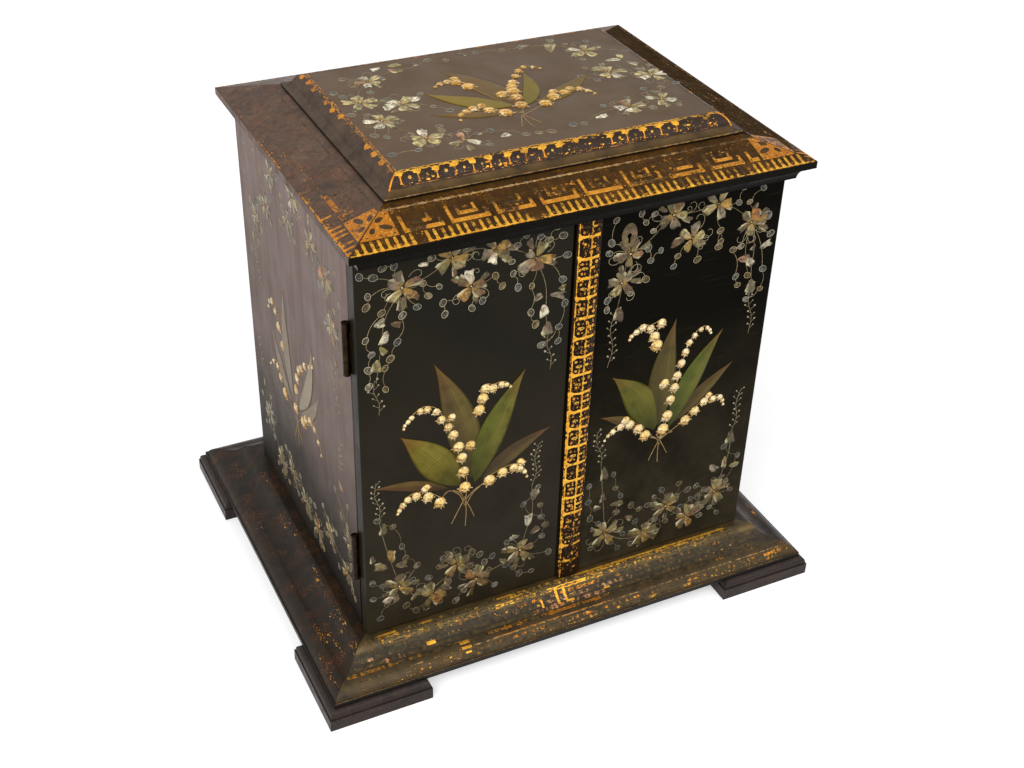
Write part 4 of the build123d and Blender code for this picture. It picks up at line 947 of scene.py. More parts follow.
side_flowers = [
    (100, 9, 9, -85, "scsws"), (127, 22, 9, -80, "ccscs"), (88, 26, 8.5, -60, "scsss"), (50, 37, 8.5, -90, "sssco"),
    (148, 32, 9.2, -85, "kccsa"), (28, 54, 8.4, -80, "ssoss"), (19, 42, 8, 80, "s"), (20, 66, 8, 80, "o"),
    (155, 58, 8.6, -70, "cskcs"), (158, 72, 8, 85, "k"), (125, 4, 7, 60, "c"), (45, 222, 9, -80, "sscsc"),
    (88, 222, 9, -60, "ssoss"), (110, 228, 9, -85, "acsso"), (132, 214, 9, -75, "csssc"), (155, 156, 9, 80, "k"),
    (155, 178, 9, 85, "s"), (169, 194, 9, -80, "kcsss"), (62, 12, 8.5, -80, "ssoss"), (24, 196, 8.6, -80, "sssos"),
    (66, 214, 8.4, -80, "sosss"), (160, 222, 9, -70, "sscco"), (17, 172, 8, 85, "d"),
]
side_rings = [
    (14, 12), (22, 20), (34, 10), (44, 18), (74, 8), (80, 16), (112, 12), (116, 30), (138, 12), (150, 14), (164, 20),
    (168, 36), (138, 40), (160, 44), (170, 66), (166, 84), (152, 82), (12, 32), (36, 40), (38, 58), (12, 54),
    (30, 70), (14, 82), (60, 28), (100, 34), (76, 34), (14, 210), (30, 212), (34, 230), (56, 230), (74, 226),
    (98, 214), (122, 200), (144, 204), (146, 228), (168, 210), (166, 168), (146, 170), (164, 184), (10, 190),
    (28, 182), (54, 204), (80, 208), (106, 212), (118, 236), (172, 232),
]
side_bells = [
    ([(82, 155), (85, 140), (88, 130), (92, 122), (97, 118), (104, 112), (112, 108), (118, 104), (122, 96)],
    0.35, 1.1), ([(64, 122), (58, 112), (54, 104), (48, 100), (43, 103), (40, 108)], 0.35, 1.0),
    ([(62, 157), (55, 150), (50, 145), (42, 146), (35, 152)], 0.35, 1.1),
    ([(95, 157), (100, 152), (108, 148), (115, 149), (121, 154), (125, 161)], 0.35, 1.1),
]
side_leaves = [
    ((126, 120), (90, 156), 10, 4, (124, 108, 88)), ((44, 118), (74, 156), 11, -4, (122, 108, 88)),
    ((72, 80), (78, 152), 13, -5, (126, 112, 94)), ((118, 92), (88, 152), 12, 6, (144, 130, 108)),
]
side_stalks = [
    [(82, 166), (76, 160), (62, 157)], [(82, 166), (82, 160), (82, 155)], [(82, 166), (88, 160), (95, 157)],
    [(83, 162), (80, 171), (76, 180)], [(82, 162), (83, 172), (83, 182)], [(81, 162), (85, 170), (89, 177)],
    [(78, 152), (68, 136), (64, 122)],
]
side_sprigs = [
    ((24, 76), (26, 104), 11), ((156, 84), (158, 112), 11), ((14, 140), (16, 166), 10), ((160, 128), (156, 152), 10),
]
side_lines = [
    [(100, 9), (88, 24), (70, 22), (50, 36), (36, 46), (28, 54), (24, 76)],
    [(100, 9), (127, 22), (148, 32), (155, 58), (156, 84)],
    [(24, 196), (36, 212), (45, 222), (66, 216), (88, 222), (110, 228), (132, 214), (160, 222)],
]


def decorate(place, surface, body, flowers, rings, bells, leaves, stalks, sprigs, lines, bell_tone, face, low=None,
             shade=1.0, ring_shade=1.0, disc_shade=0.9, line_tone=(132, 116, 82), thick=1.0):
    """Lays one surface's garlands and spray: pearl slips, painted lines and rings, bells and leaves, one mesh each.
    low holds the flowers and rings of a lower garland in half the light."""
    slips, paint = Piece("pearl_slips_" + place), Piece("painted_lines_" + place)
    bell_piece, leaf_piece = Piece("bell_flowers_" + place), Piece("painted_leaves_" + place)
    for group, circles, light in ((flowers, rings, shade),) + ((low + (0.5,),) if low else ()):
        lay_flowers(slips, surface, group, light, face)
        lay_tendrils(paint, surface, group, light * ring_shade, face)
        lay_rings(paint, surface, circles, hearts_of(group), light * ring_shade, disc_shade)
    lay_sprigs(paint, surface, sprigs, shade * 0.9)
    lay_lines(paint, surface, lines, 0.42, 0.11, line_tone)
    lay_lines(paint, surface, stalks, 0.75, 0.2, (150, 118, 70))
    lay_bells(bell_piece, paint, surface, bells, bell_tone)
    lay_leaves(leaf_piece, surface, leaves, thick)
    slips.make(pearl_finish, body, "pearl")
    paint.make(enamel_finish, body, "lacquer")
    bell_piece.make(bell_finish, body, "lacquer")
    leaf_piece.make(leaf_finish, body, "lacquer")


# ---------------------------------------------------------------- gilding on the mouldings

plinth_section = np.concatenate([[(0, 0), (0, 3)], arc((1, 3), (9, 9), 1.3), arc((9, 9), (21, 15.3), -1.6)[1:],
                                 arc((21, 15.3), (26, 17.8), 0.6)[1:], [(43, 17.8)]])
cornice_section = [(0, 7.7), (0, 11.7), (29, 20.5), (40.6, 20.5)]
lid_section = np.concatenate([[(0, 0)], arc((0, 1.6), (5, 3.5), -0.7), arc((5, 3.5), (11, 9.4), 1.1)[1:],
                              [(12.2, 9.4)]])


def rail_surfaces(half_width, front, back, level, section):
    """The four rails of a mitred moulding, each running to the right as it is seen from outside."""
    wide, deep = 2 * half_width, back - front
    return {
        "front": Surface((-half_width, front, level), X, Y, Z, section, wide),
        "right": Surface((half_width, front, level), Y, -X, Z, section, deep),
        "back": Surface((half_width, back, level), -X, -Y, Z, section, wide),
        "left": Surface((-half_width, back, level), -Y, X, Z, section, deep),
    }


gold_bright, gold_orange, gold_dull = ink(242, 182, 60), ink(212, 138, 42), ink(150, 112, 48)
# A pale tone. Its lines on the cornice's slope under the lid, on the lid moulding's lower arris and on the plinth's
# ovolo are painted highlights.
rubbed = ink(158, 140, 104)
# A stroke with more wear than this is all but gone and isn't laid
GONE = 0.66


def worn(tone, wear):
    """The gold tone of each shape with its wear as the fourth value."""
    wear = np.asarray(wear, float)
    return np.concatenate([np.broadcast_to(tone[:3], wear.shape + (3,)), wear[..., None]], -1)


def strokes(piece, rail, lines, widths, tone, lost, height=0.1, count=7):
    """Straight strokes of leaf, each from its first point to its second. lost gives the wear at their points."""
    lines = np.array(lines, float)
    s = np.linspace(0, 1, count)[None, :, None]
    paths = lines[:, :1] * (1 - s) + lines[:, 1:] * s
    wear = lost(paths)
    kept = wear.mean(1) < GONE
    if kept.any():
        widths = np.broadcast_to(np.reshape(widths, (-1, 1)), wear.shape)
        lay_ridges(piece, rail, paths[kept], widths[kept], height, worn(tone, wear[kept]))


def long_line(piece, rail, t, width, tone, lost, start=None, end=None, ragged=0.0, height=0.09):
    """One line along the rail, between its mitres unless told otherwise, with a wandering width where ragged."""
    start = rail.depth(t) + 0.8 if start is None else start
    end = rail.length - rail.depth(t) - 0.8 if end is None else end
    many = max(8, int((end - start) / 1.3))
    at = np.linspace(start, end, many)
    line = pairs(at, t)[None]
    wide = width * (1 + ragged * chance.standard_normal((1, many)))
    lay_ridges(piece, rail, line, np.clip(wide, width * 0.3, width * 1.7), height, worn(tone, lost(line)))


def fading(row, spread=0.04):
    """Wear read from a list of (place along the rail, wear), with a little chance in each shape."""
    at, wear = np.array(row, float).T

    def lost(points, more=0.0):
        return np.interp(points[..., 0], at, wear) + more + spread * chance.standard_normal((len(points), 1))
    return lost


def speckled(lost, rough, more=0.0):
    """The same wear with chance at each point too."""
    return lambda points: lost(points, more) + rough * chance.standard_normal(points.shape[:2])


# One unit of the key: each stroke's first point, last point and width
KEY = (((1.1, 12.8), (1.1, 25.0), 2.3), ((0.2, 14.3), (21.0, 14.3), 3.4), ((19.9, 14.6), (19.9, 19.8), 2.3),
       ((6.1, 17.6), (6.1, 24.6), 2.3), ((5.2, 18.8), (16.0, 18.8), 3.0), ((15.0, 18.8), (15.0, 24.0), 2.0),
       ((9.4, 22.6), (12.0, 22.6), 1.8))
# Half of the square at a mitre, and its dark petals and dots: place, bearing, half length and half width
MITRE_FIELD = ((8.9, 12.6), (14, 12.6), (19, 12.6), (24, 12.6), (29, 12.6), (29, 17), (29, 21.5), (29, 26),
               (29, 30.3), (25.8, 30.3), (21.8, 26.2), (17.4, 21.6), (13, 17))
MITRE_MARKS = ((24.6, 19.2, -0.35, 3.6, 1.8), (22.9, 24.6, 0.55, 2.8, 1.5), (17.2, 18.0, 0.9, 2.3, 1.4),
               (13.2, 14.2, 0, 0.6, 0.5), (20.2, 14.3, 0, 0.6, 0.5), (27.3, 14.4, 0, 0.6, 0.5),
               (27.4, 27.6, 0, 0.6, 0.5))


def gild_cornice(piece, rail, row, field, tone, crease):
    """A row of strokes along the edge, then in each unit of a Greek key a larger and a smaller U, and at each mitre
    half of a square with dark petals. row and field list the wear of the strokes and of the rest along the rail."""
    edge, top, pitch, unit, corner = 4.0, 12.0, 4.04, 24.5, 29.0
    lost_row, lost_field = fading(row, 0.06), fading(field)
    at = np.arange(1.6, rail.length - 1.2, pitch)
    high = np.minimum(top, edge + (np.minimum(at, rail.length - at) - 0.8) / 0.957)
    at, high = at[high > edge + 1.5], high[high > edge + 1.5]
    spread = np.interp(at, *np.array(row, float).T)
    high = edge + (high - edge) * np.clip((0.68 - spread) / 0.22, 0.25, 1)
    at = at + 0.12 * chance.standard_normal(len(at))
    s = np.linspace(0, 1, 6)
    paths = pairs(at[:, None], (edge + 0.3) * (1 - s) + high[:, None] * s)
    wear = lost_row(paths) + [-0.05, -0.04, 0.03, 0.0, 0.03, 0.07]
    kept = wear.mean(1) < GONE
    tones = worn(tone, wear)
    tones[..., :3] *= np.array([1.12, 1.0, 0.72, 0.8, 0.7, 0.55])[:, None]
    lay_ridges(piece, rail, paths[kept], [[2.7, 2.5, 1.7, 2.2, 2.0, 1.6]], 0.12, tones[kept])
    long_line(piece, rail, edge + 0.8, 0.9, tone, lost_row, ragged=0.3)

    def slope(points):
        return lost_field(points, 0.012 * (points[..., 1] - 14.0))

    key_tone = tone * [0.72, 0.58, 0.5, 1]
    starts = np.arange(corner + 2.8, rail.length - corner - unit + 3, unit)
    for first, last, width in KEY:
        lines = np.array([(first, last)]) + pairs(starts, 0)[:, None]
        strokes(piece, rail, lines, width, key_tone, slope)
    rest = starts[-1] + unit
    if rail.length - corner - rest > 5:
        strokes(piece, rail, [((rest + 1.1, 12.8), (rest + 1.1, 21)),
                              ((rest, 14.3), (rail.length - corner - 2, 14.3))], [2.3, 3.4], key_tone, slope)
    # Painted highlight: a pale, broken line along the slope just short of its crease under the lid.
    long_line(piece, rail, 30.0, 1.5, rubbed, fading([(a, wear + 0.04) for a, wear in crease], 0.1), ragged=0.5,
              height=0.06)
    marks = []
    for u, v, bearing, long, wide in MITRE_MARKS:
        turn = np.array([[math.cos(bearing), math.sin(bearing)], [-math.sin(bearing), math.cos(bearing)]])
        marks.append((circle(10) * [long, wide]) @ turn + [u, v])
    for mirror in (False, True):
        share = float(np.interp(rail.length - 20.0 if mirror else 20.0, *np.array(field, float).T)) + 0.03
        if share > GONE:
            continue
        for shape, height, gone in [(MITRE_FIELD, 0.08, share)] + [(mark, 0.16, 1.3) for mark in marks]:
            shape = np.array(shape, float)
            if mirror:
                shape = shape * [-1, 1] + [rail.length, 0]
            raise_bosses(piece, rail, shape[None], height, worn(gold_orange * [0.78, 0.72, 0.64, 1], gone),
                         shoulder=0.85)


def gild_lid_moulding(piece, rail, wear, tone, whole):
    """A ragged gold rim on the ovolo with fans hanging from it, and on the front a stem under each fan, a dot between
    two stems, crumbs at their feet and a pale line along the lower arris, which is a painted highlight."""
    rim, pitch, foot = 16.0, 9.78, 7.7
    inset = rail.depth(rim) + 0.3
    long_line(piece, rail, rim, 2.9, tone, fading([(0, wear), (rail.length, wear)], 0.06), inset, rail.length - inset,
              ragged=0.22, height=0.1)
    at = np.arange(2.1 + pitch, rail.length - inset, pitch)
    at = at[at > inset + 0.5]
    many = len(at)
    share = wear + 0.04 + 0.08 * chance.standard_normal(many)
    lobes = 1 + 0.16 * np.cos(5 * np.linspace(0, 2 * np.pi, 12, endpoint=False))
    at = at + 0.25 * chance.standard_normal(many)
    fan = pairs(at, 14.0 + 0.3 * chance.standard_normal(many))[:, None] + (
        circle(12) * lobes[:, None] * [2.3, 1.6] * chance.uniform(0.75, 1.25, (many, 12, 1)))
    raise_bosses(piece, rail, fan, 0.14, worn(tone, share))
    if not whole:
        return
    stem = pairs(at[:, None], [13.4, 12.2, 10.8, 9.6, 8.7])
    lay_ridges(piece, rail, stem, [[2.2, 1.2, 0.8, 1.0, 2.0]], 0.1, worn(gold_orange, share + 0.05))
    dot = pairs(at[:-1] + pitch / 2, 11.5)[:, None] + circle(8) * chance.uniform(0.55, 1.0, (many - 1, 1, 1))
    raise_bosses(piece, rail, dot, 0.14, worn(ink(196, 164, 76), share[:-1] + 0.05))
    crumb = pairs(chance.uniform(inset, rail.length - inset, 260), 8.2 + chance.exponential(1.6, 260))
    flakes(piece, rail, crumb[crumb[:, 1] < 14.5], 0.22, [gold_orange, gold_bright, gold_dull], 0.36)
    long_line(piece, rail, foot, 0.6, ink(186, 132, 96), fading([(0, 0.44), (rail.length, 0.5)], 0.05), ragged=0.4)
    # Painted highlight: a pale line along the moulding's lower arris.
    long_line(piece, rail, 1.1, 0.8, rubbed, fading([(0, 0.5), (rail.length, 0.46)], 0.05), ragged=0.5, height=0.06)
    rise = np.linspace(6.6, rim + 0.4, 12)
    at_mitre = rail.depth(rise) + 0.55
    for start in (at_mitre, rail.length - at_mitre):
        lay_ridges(piece, rail, pairs(start, rise)[None], 1.1, 0.12, worn(gold_orange, wear - 0.02))


# The strip's squares between two bars: how far from the middle, how far across, and the two measures
SQUARES = ((-3.1, 13.7, 2.0, 1.7), (0.0, 13.9, 1.9, 1.9), (3.1, 13.7, 2.0, 1.7), (-3.0, 4.9, 1.6, 1.3),
           (3.0, 5.0, 1.6, 1.3), (-2.8, 7.4, 1.0, 0.8), (2.9, 7.3, 1.0, 0.8))


def gild_astragal(piece, strip):
    """Crossbars that spread at the left border, a line down the middle, and between two bars a pierced lozenge, three
    posts and seven squares. From 198 mm down the leaf is rubbed to brown, except the left edge."""
    pitch = 12.2
    bars = np.arange(11.7, strip.length - 4, pitch)
    middles = np.arange(5.6, strip.length - 2, pitch)
    lost = fading([(0, 0.46), (20, 0.42), (80, 0.39), (150, 0.35), (190, 0.34), (200, 0.50), (strip.length, 0.54)],
                  0.05)
    edge = fading([(0, 0.66), (72, 0.64), (82, 0.47), (110, 0.42), (150, 0.38), (205, 0.40), (strip.length, 0.56)],
                  0.05)
    paths = pairs(bars[:, None], np.array([2.3, 3.3, 4.6, 6.2, 8.0, 9.8, 11.6, 13.4, 15.2]))
    many, each = paths.shape[:2]
    paths[..., 0] += 0.2 * chance.standard_normal((many, 1)) + 0.15 * chance.standard_normal((many, each))
    widths = np.array([6.0, 4.2, 2.3, 1.9, 2.1, 2.8, 2.0, 2.0, 2.6]) * chance.uniform(0.8, 1.2, (many, each))
    lay_ridges(piece, strip, paths, widths, 0.13,
               worn(gold_bright, lost(paths) + 0.05 * chance.standard_normal((many, each))))
    for t, width, height, wear, more, rough in ((9.8, 1.15, 0.12, lost, 0.02, 0.07),
                                                (2.7, 0.9, 0.12, lost, 0.0, 0.07),
                                                (15.8, 0.5, 0.12, lost, 0.14, 0.07),
                                                (1.9, 1.2, 0.1, edge, 0.0, 0.06)):
        long_line(piece, strip, t, width, gold_bright, speckled(wear, rough, more), 0.4, strip.length - 0.4,
                  ragged=0.35, height=height)
    many = len(middles)
    share = lost(pairs(middles, 0)[:, None])[:, 0]
    lozenge = pairs(middles, 6.6)[:, None] + circle(8) * [1.0, 1.9] * chance.uniform(0.8, 1.2, (many, 8, 1))
    raise_bosses(piece, strip, lozenge, 0.14, worn(gold_bright * [0.7, 0.85, 1.6, 1], share + 0.04))
    raise_bosses(piece, strip, pairs(middles, 6.9)[:, None] + circle(8) * [0.4, 0.75], 0.2, worn(gold_dull, 1.3))
    for shift, low, high, width in ((0.0, 9.8, 12.4, 1.7), (-3.0, 9.6, 10.6, 1.5), (3.0, 9.6, 10.6, 1.5)):
        strokes(piece, strip, [[(at + shift, low), (at + shift, high)] for at in middles], width, gold_bright, lost,
                0.12, 3)
    for shift, level, wide, long in SQUARES:
        box = pairs(middles + shift, level)[:, None] + (
            circle(8) * [wide * 0.55, long * 0.6] * chance.uniform(0.7, 1.25, (many, 8, 1)))
        raise_bosses(piece, strip, box, 0.12,
                     worn(ink(206, 150, 70), share + 0.05 + 0.08 * chance.standard_normal(many)))
    crumbs = pairs(chance.uniform(1, strip.length - 1, 900), chance.uniform(2.4, 15.6, 900))
    flakes(piece, strip, crumbs, 0.16, [gold_orange, gold_bright, gold_dull], 0.36)


# Bands of leaf on the plinth's front, worn to specks: level, width, tone, and places with the wear there. The bands at
# 11.2 and 11.5 on the ovolo and at 29.6 on the bead are painted highlights, laid as specks
PLINTH_BANDS = ((3.3, 0.5, rubbed, ((0, 0.42), (300, 0.46))),
                (11.2, 0.9, rubbed, ((0, 0.62), (70, 0.54), (100, 0.5), (300, 0.5))),
                (11.5, 1.1, gold_orange, ((96, 0.7), (104, 0.46), (140, 0.42), (172, 0.42), (184, 0.6))),
                (32.5, 1.9, gold_bright, ((34, 0.62), (47, 0.5), (61, 0.6), (110, 0.6), (121, 0.5), (162, 0.54),
                                          (180, 0.5), (270, 0.52), (273, 0.66))),
                (34.3, 1.9, gold_bright, ((34, 0.6), (36, 0.43), (47, 0.43), (50, 0.58), (61, 0.58), (63, 0.43),
                                          (70, 0.43), (73, 0.58), (110, 0.57), (113, 0.44), (121, 0.44), (124, 0.54),
                                          (162, 0.5), (167, 0.43), (180, 0.41), (270, 0.43), (273, 0.66))),
                (29.6, 3.4, gold_bright, ((34, 0.62), (40, 0.56), (74, 0.55), (100, 0.6), (112, 0.5), (119, 0.46),
                                          (124, 0.54), (143, 0.52), (145, 0.38), (149, 0.46), (156, 0.36),
                                          (168, 0.37), (172, 0.52), (260, 0.54), (275, 0.62))),
                (26.2, 2.6, gold_orange, ((18, 0.6), (46, 0.58), (100, 0.62), (130, 0.54), (150, 0.5), (190, 0.55),
                                          (290, 0.62))),
                (23.0, 3.4, ink(206, 164, 132), ((14, 0.56), (42, 0.56), (60, 0.6), (120, 0.6), (150, 0.54),
                                                 (186, 0.52), (200, 0.6), (290, 0.6))),
                (19.4, 3.2, ink(206, 150, 120), ((10, 0.55), (46, 0.55), (60, 0.6), (120, 0.6), (140, 0.54),
                                                 (176, 0.52), (186, 0.6), (290, 0.61))),
                (15.8, 3.2, gold_orange, ((8, 0.54), (46, 0.56), (60, 0.6), (96, 0.58), (104, 0.52), (140, 0.49),
                                          (172, 0.46), (182, 0.6), (300, 0.58))),
                (8.6, 2.6, gold_orange, ((80, 0.62), (100, 0.55), (160, 0.53), (200, 0.56), (285, 0.56), (292, 0.48),
                                         (306, 0.48))),
                (6.0, 2.2, gold_bright, ((80, 0.62), (100, 0.56), (200, 0.56), (300, 0.55))))
# Strokes that still stand there: first point, last point and width
PLINTH_STROKES = (
    ((148.5, 19.5), (148.5, 29), 2.2), ((153.8, 19.5), (153.8, 29.5), 2.2), ((153.0, 20.3), (158.5, 20.3), 2.0),
    ((134.5, 22.8), (136, 22.8), 1.4), ((138, 20.5), (138, 25), 1.6), ((160.2, 23), (160.2, 26), 1.2),
    ((179, 21), (183, 21), 1.5), ((80.5, 15.2), (86.5, 15.2), 3.2), ((80.5, 11.4), (86.5, 11.4), 2.2),
    ((82, 8.4), (85.5, 8.4), 1.6), ((62.5, 21.5), (68, 21.5), 3.2),
)


def gild_plinth(piece, rail):
    """What is left of a border on the plinth's front: bands of specks, three of them painted highlights, some of the
    key and a bit of three bars.
    """
    for t, width, tone, row in PLINTH_BANDS:
        start, end = max(row[0][0], rail.depth(t) + 1), min(row[-1][0], rail.length - rail.depth(t) - 1)
        long_line(piece, rail, t, width, tone, speckled(fading(row, 0.0), 0.035), start, end, ragged=0.2, height=0.05)
    strokes(piece, rail, [stroke[:2] for stroke in PLINTH_STROKES], [stroke[2] for stroke in PLINTH_STROKES],
            gold_bright, fading([(0, 0.38), (200, 0.38)], 0.05))


def flakes(piece, rail, places, size, tones, wear):
    """Small bent outlines of leaf at the places, few of them large."""
    inset = rail.depth(places[:, 1]) + 1
    places = places[(places[:, 0] > inset) & (places[:, 0] < rail.length - inset)]
    many = len(places)
    radius = np.minimum(chance.exponential(size, many) + 0.14, 1.1)
    ragged = circle(6)[None] * chance.uniform(0.5, 1.25, (many, 6, 1)) * chance.uniform(
        (0.8, 0.4), (1.9, 0.9), (many, 1, 2))
    shade = np.array(tones)[chance.integers(0, len(tones), many)][:, :3]
    shade = np.concatenate([shade, (wear + 0.08 * chance.standard_normal(many))[:, None]], 1)
    raise_bosses(piece, rail, places[:, None] + ragged * radius[:, None, None], 0.05, shade, sunk=0.06)


def scatter_flecks(piece, rail, count, along, across, size, tones, wear):
    """Flakes of leaf that are left, in clusters: a cluster's middle is drawn by the given weights along the rail and
    across its section, and its flakes, small bent outlines, lie round it in a normal spread."""
    groups = max(1, count // 16)
    middle = rail.length * (chance.choice(len(along), groups, p=np.array(along) / np.sum(along))
                            + chance.uniform(0, 1, groups)) / len(along)
    low, high, weight = np.array(across, float).T
    band = chance.choice(len(across), groups, p=weight / weight.sum())
    level = chance.uniform(low[band], high[band])
    mine = chance.integers(0, groups, count)
    at = middle[mine] + 7.0 * chance.standard_normal(count)
    t = np.clip(level[mine] + 0.8 * chance.standard_normal(count), low[band][mine], high[band][mine])
    flakes(piece, rail, pairs(at, t), size, tones, wear)


# ---------------------------------------------------------------- linings

def points_of(mesh):
    found = np.empty(len(mesh.vertices) * 3)
    mesh.vertices.foreach_get("co", found)
    return found.reshape(-1, 3)


def swell(thing, base, crest, seam, pressure, spare, drift):
    """Cloth simulation of a quilted skin. Points within seam of the base height are sewn down and stay. The rest has
    spare cloth and is blown out by pressure, with no gravity. Afterwards no point is past the crest height, or more
    than drift from where it started. Heights, seam and drift are in millimetres."""
    frames = 20
    scene, mesh = bpy.context.scene, thing.data
    start = points_of(mesh)
    group = thing.vertex_groups.new(name="sewn")
    group.add(np.flatnonzero(np.abs(start[:, 2] / MM - base) < seam).tolist(), 1.0, "REPLACE")
    cloth = thing.modifiers.new("swell", "CLOTH")
    for setting, value in dict(quality=8, mass=0.05, tension_stiffness=8, compression_stiffness=8, shear_stiffness=4,
                               bending_stiffness=0.02, vertex_group_mass=group.name, use_pressure=True,
                               uniform_pressure_force=pressure, shrink_min=-spare).items():
        setattr(cloth.settings, setting, value)
    cloth.settings.effector_weights.gravity = 0
    cloth.collision_settings.use_collision = False
    cloth.point_cache.frame_start, cloth.point_cache.frame_end = 1, frames
    for number in range(1, frames + 1):
        scene.frame_set(number)
    end = points_of(thing.evaluated_get(bpy.context.evaluated_depsgraph_get()).to_mesh())
    thing.to_mesh_clear()
    thing.modifiers.remove(cloth)
    thing.vertex_groups.remove(group)
    scene.frame_set(1)
    end = start + np.clip(end - start, -drift * MM, drift * MM)
    end[:, 2] = np.clip(end[:, 2], min(base, crest) * MM, max(base, crest) * MM)
    mesh.vertices.foreach_set("co", end.ravel())
    mesh.update()


def crowned_pad(name, low, high, base, rise, material, body, slot, tufts=None, rolls=0, down=False):
    """A cushioned board: its skin stands off the base by rise times the root of (1 - x^10)(1 - y^10), a rounded edge.
    Where tufts are given, the quilting falls to a fraction at each button and seam. Where rolls are given, the skin
    rises in that many round rolls with grooves between them."""
    across, along = 96, 120
    gx, gy = np.meshgrid(np.linspace(-1, 1, across), np.linspace(-1, 1, along), indexing="ij")
    edge = (np.maximum(0, 1 - gx ** 10) * np.maximum(0, 1 - gy ** 10)) ** 0.5
    px = (low[0] + high[0]) / 2 + gx * (high[0] - low[0]) / 2
    py = (low[1] + high[1]) / 2 + gy * (high[1] - low[1]) / 2
    skin = edge * (0.9 + 0.1 * np.cos(gx * 1.5) * np.cos(gy * 1.5))
    if tufts:
        wide, deep = (high[0] - low[0]) / tufts[0], (high[1] - low[1]) / tufts[1]
        s, t = (px - low[0]) / wide, (py - low[1]) / deep
        quilt = np.abs(np.sin(np.pi * (s + t)) * np.sin(np.pi * (s - t))) ** 0.45
        skin = edge * (0.30 + 0.70 * quilt)
    if rolls:
        skin = edge * (0.3 + 0.7 * np.abs(np.sin(np.pi * rolls * (gy + 1) / 2)) ** 0.55)
    sign = -1 if down else 1
    top = np.stack([px, py, base + sign * rise * skin], -1)
    foot = np.stack([px, py, np.full(px.shape, float(base))], -1)
    points = np.concatenate([top.reshape(-1, 3), foot.reshape(-1, 3)])
    number = np.arange(across * along).reshape(across, along)
    quads = np.stack([number[:-1, :-1], number[1:, :-1], number[1:, 1:], number[:-1, 1:]], -1).reshape(-1, 4)
    rim = np.concatenate([number[:, 0], number[-1, 1:], number[-2::-1, -1], number[0, -2:0:-1]])
    after = np.roll(rim, -1)
    size = across * along
    walls = np.stack([rim, rim + size, after + size, after], -1)
    piece = Piece(name)
    piece.add(points[None], [np.concatenate([quads, quads[:, ::-1] + size, walls])], 0.0, np.ones(4))
    thing = piece.make(material, body, slot)
    merge_doubles(thing)
    return thing


def lay_screws(name, surface, places, radius, proud, body, material, slot, lean):
    """Slotted screw heads: two D-shaped halves each, either side of a slot that lies at lean radians."""
    half = ways(np.linspace(-1.35, 1.35, 9)) * radius
    outlines = []
    for number, place in enumerate(places):
        angle = lean + 1.1 * number
        spin = np.array([[math.cos(angle), math.sin(angle)], [-math.sin(angle), math.cos(angle)]])
        outlines += [half @ spin + place, (half * [-1, 1])[::-1] @ spin + place]
    piece = Piece(name)
    raise_bosses(piece, surface, outlines, proud, np.ones(4), shoulder=0.7, rim=0.5, sunk=proud)
    piece.make(material, body, slot, smooth=False)


def merge_doubles(thing):
    """Joins points that fall together and turns the skin outwards."""
    mesh = bmesh.new()
    mesh.from_mesh(thing.data)
    bmesh.ops.remove_doubles(mesh, verts=mesh.verts, dist=1e-6)
    bmesh.ops.dissolve_degenerate(mesh, edges=mesh.edges, dist=1e-6)
    bmesh.ops.recalc_face_normals(mesh, faces=mesh.faces)
    mesh.to_mesh(thing.data)
    mesh.free()


# ---------------------------------------------------------------- the cabinet put together

place_camera()
world = bpy.data.worlds.new("studio")
bpy.context.scene.world = world
world.use_nodes = True
sky = Graph(world.node_tree)
level = sky.node("ShaderNodeMapRange", {"Value": sky.seen(), "To Min": SKY_LIGHT, "To Max": 1.0})
background = world.node_tree.nodes["Background"]
background.inputs["Color"].default_value = (1, 1, 1, 1)
world.node_tree.links.new(level.outputs[0], background.inputs["Strength"])
place_lamp("lamp_left", (-1.1, -0.9, 1.3), 16, 0.9)
place_lamp("lamp_front", (0.5, -1.6, 1.5), 14, 1.2)

floor_mesh = bpy.data.meshes.new("floor")
floor_mesh.from_pydata([(-6, -6, 0), (6, -6, 0), (6, 6, 0), (-6, 6, 0)], [], [(0, 1, 2, 3)])
floor = link(bpy.data.objects.new("floor", floor_mesh))
f = Finish("floor", Roughness=0.9, Specular_IOR_Level=0.0, Emission_Color=(1, 1, 1, 1))
f.finish(f.mix(f.noise(30, 3), (0.80, 0.80, 0.80, 1), (0.84, 0.84, 0.84, 1)))
f.tree.links.new(f.times(f.seen(), FLOOR_GLOW), f.shader.inputs["Emission Strength"])
floor_mesh.materials.append(f.material)

# Heights on the mouldings at the front, and the tone there: the moulding's browns with painted sheen, highlight and
# reflection on its bands
LID_TONE_AND_SHEEN = ((0.2976, (92, 72, 36)), (0.2992, (104, 80, 46)), (0.3001, (50, 37, 30)), (0.3050, (44, 31, 24)))
PLINTH_TONE_AND_SHEEN = ((0.0150, (58, 45, 22)), (0.0200, (88, 69, 34)), (0.0222, (48, 45, 42)), (0.0262, (52, 47, 40)),
                (0.0280, (128, 106, 58)), (0.0300, (74, 60, 34)))
pearl_finish, plate_finish = pearl("pearl"), pearl("pearl_plate", (104, 88, 54))
enamel_finish, bell_finish, leaf_finish = enamel(), bell_paint(), leaf_paint()
gilt_front = gilding("gilding_cornice_front", (54, 38, 18), (84, 60, 28))
gilt_side = gilding("gilding_cornice_side", (66, 50, 38), (98, 74, 54))
gilt_lid = gilding("gilding_lid_moulding", (40, 30, 22), (62, 46, 30))
gilt_strip = gilding("gilding_astragal", (20, 10, 2), (46, 26, 8))
gilt_plinth = gilding("gilding_plinth", (50, 43, 30), (84, 72, 46))
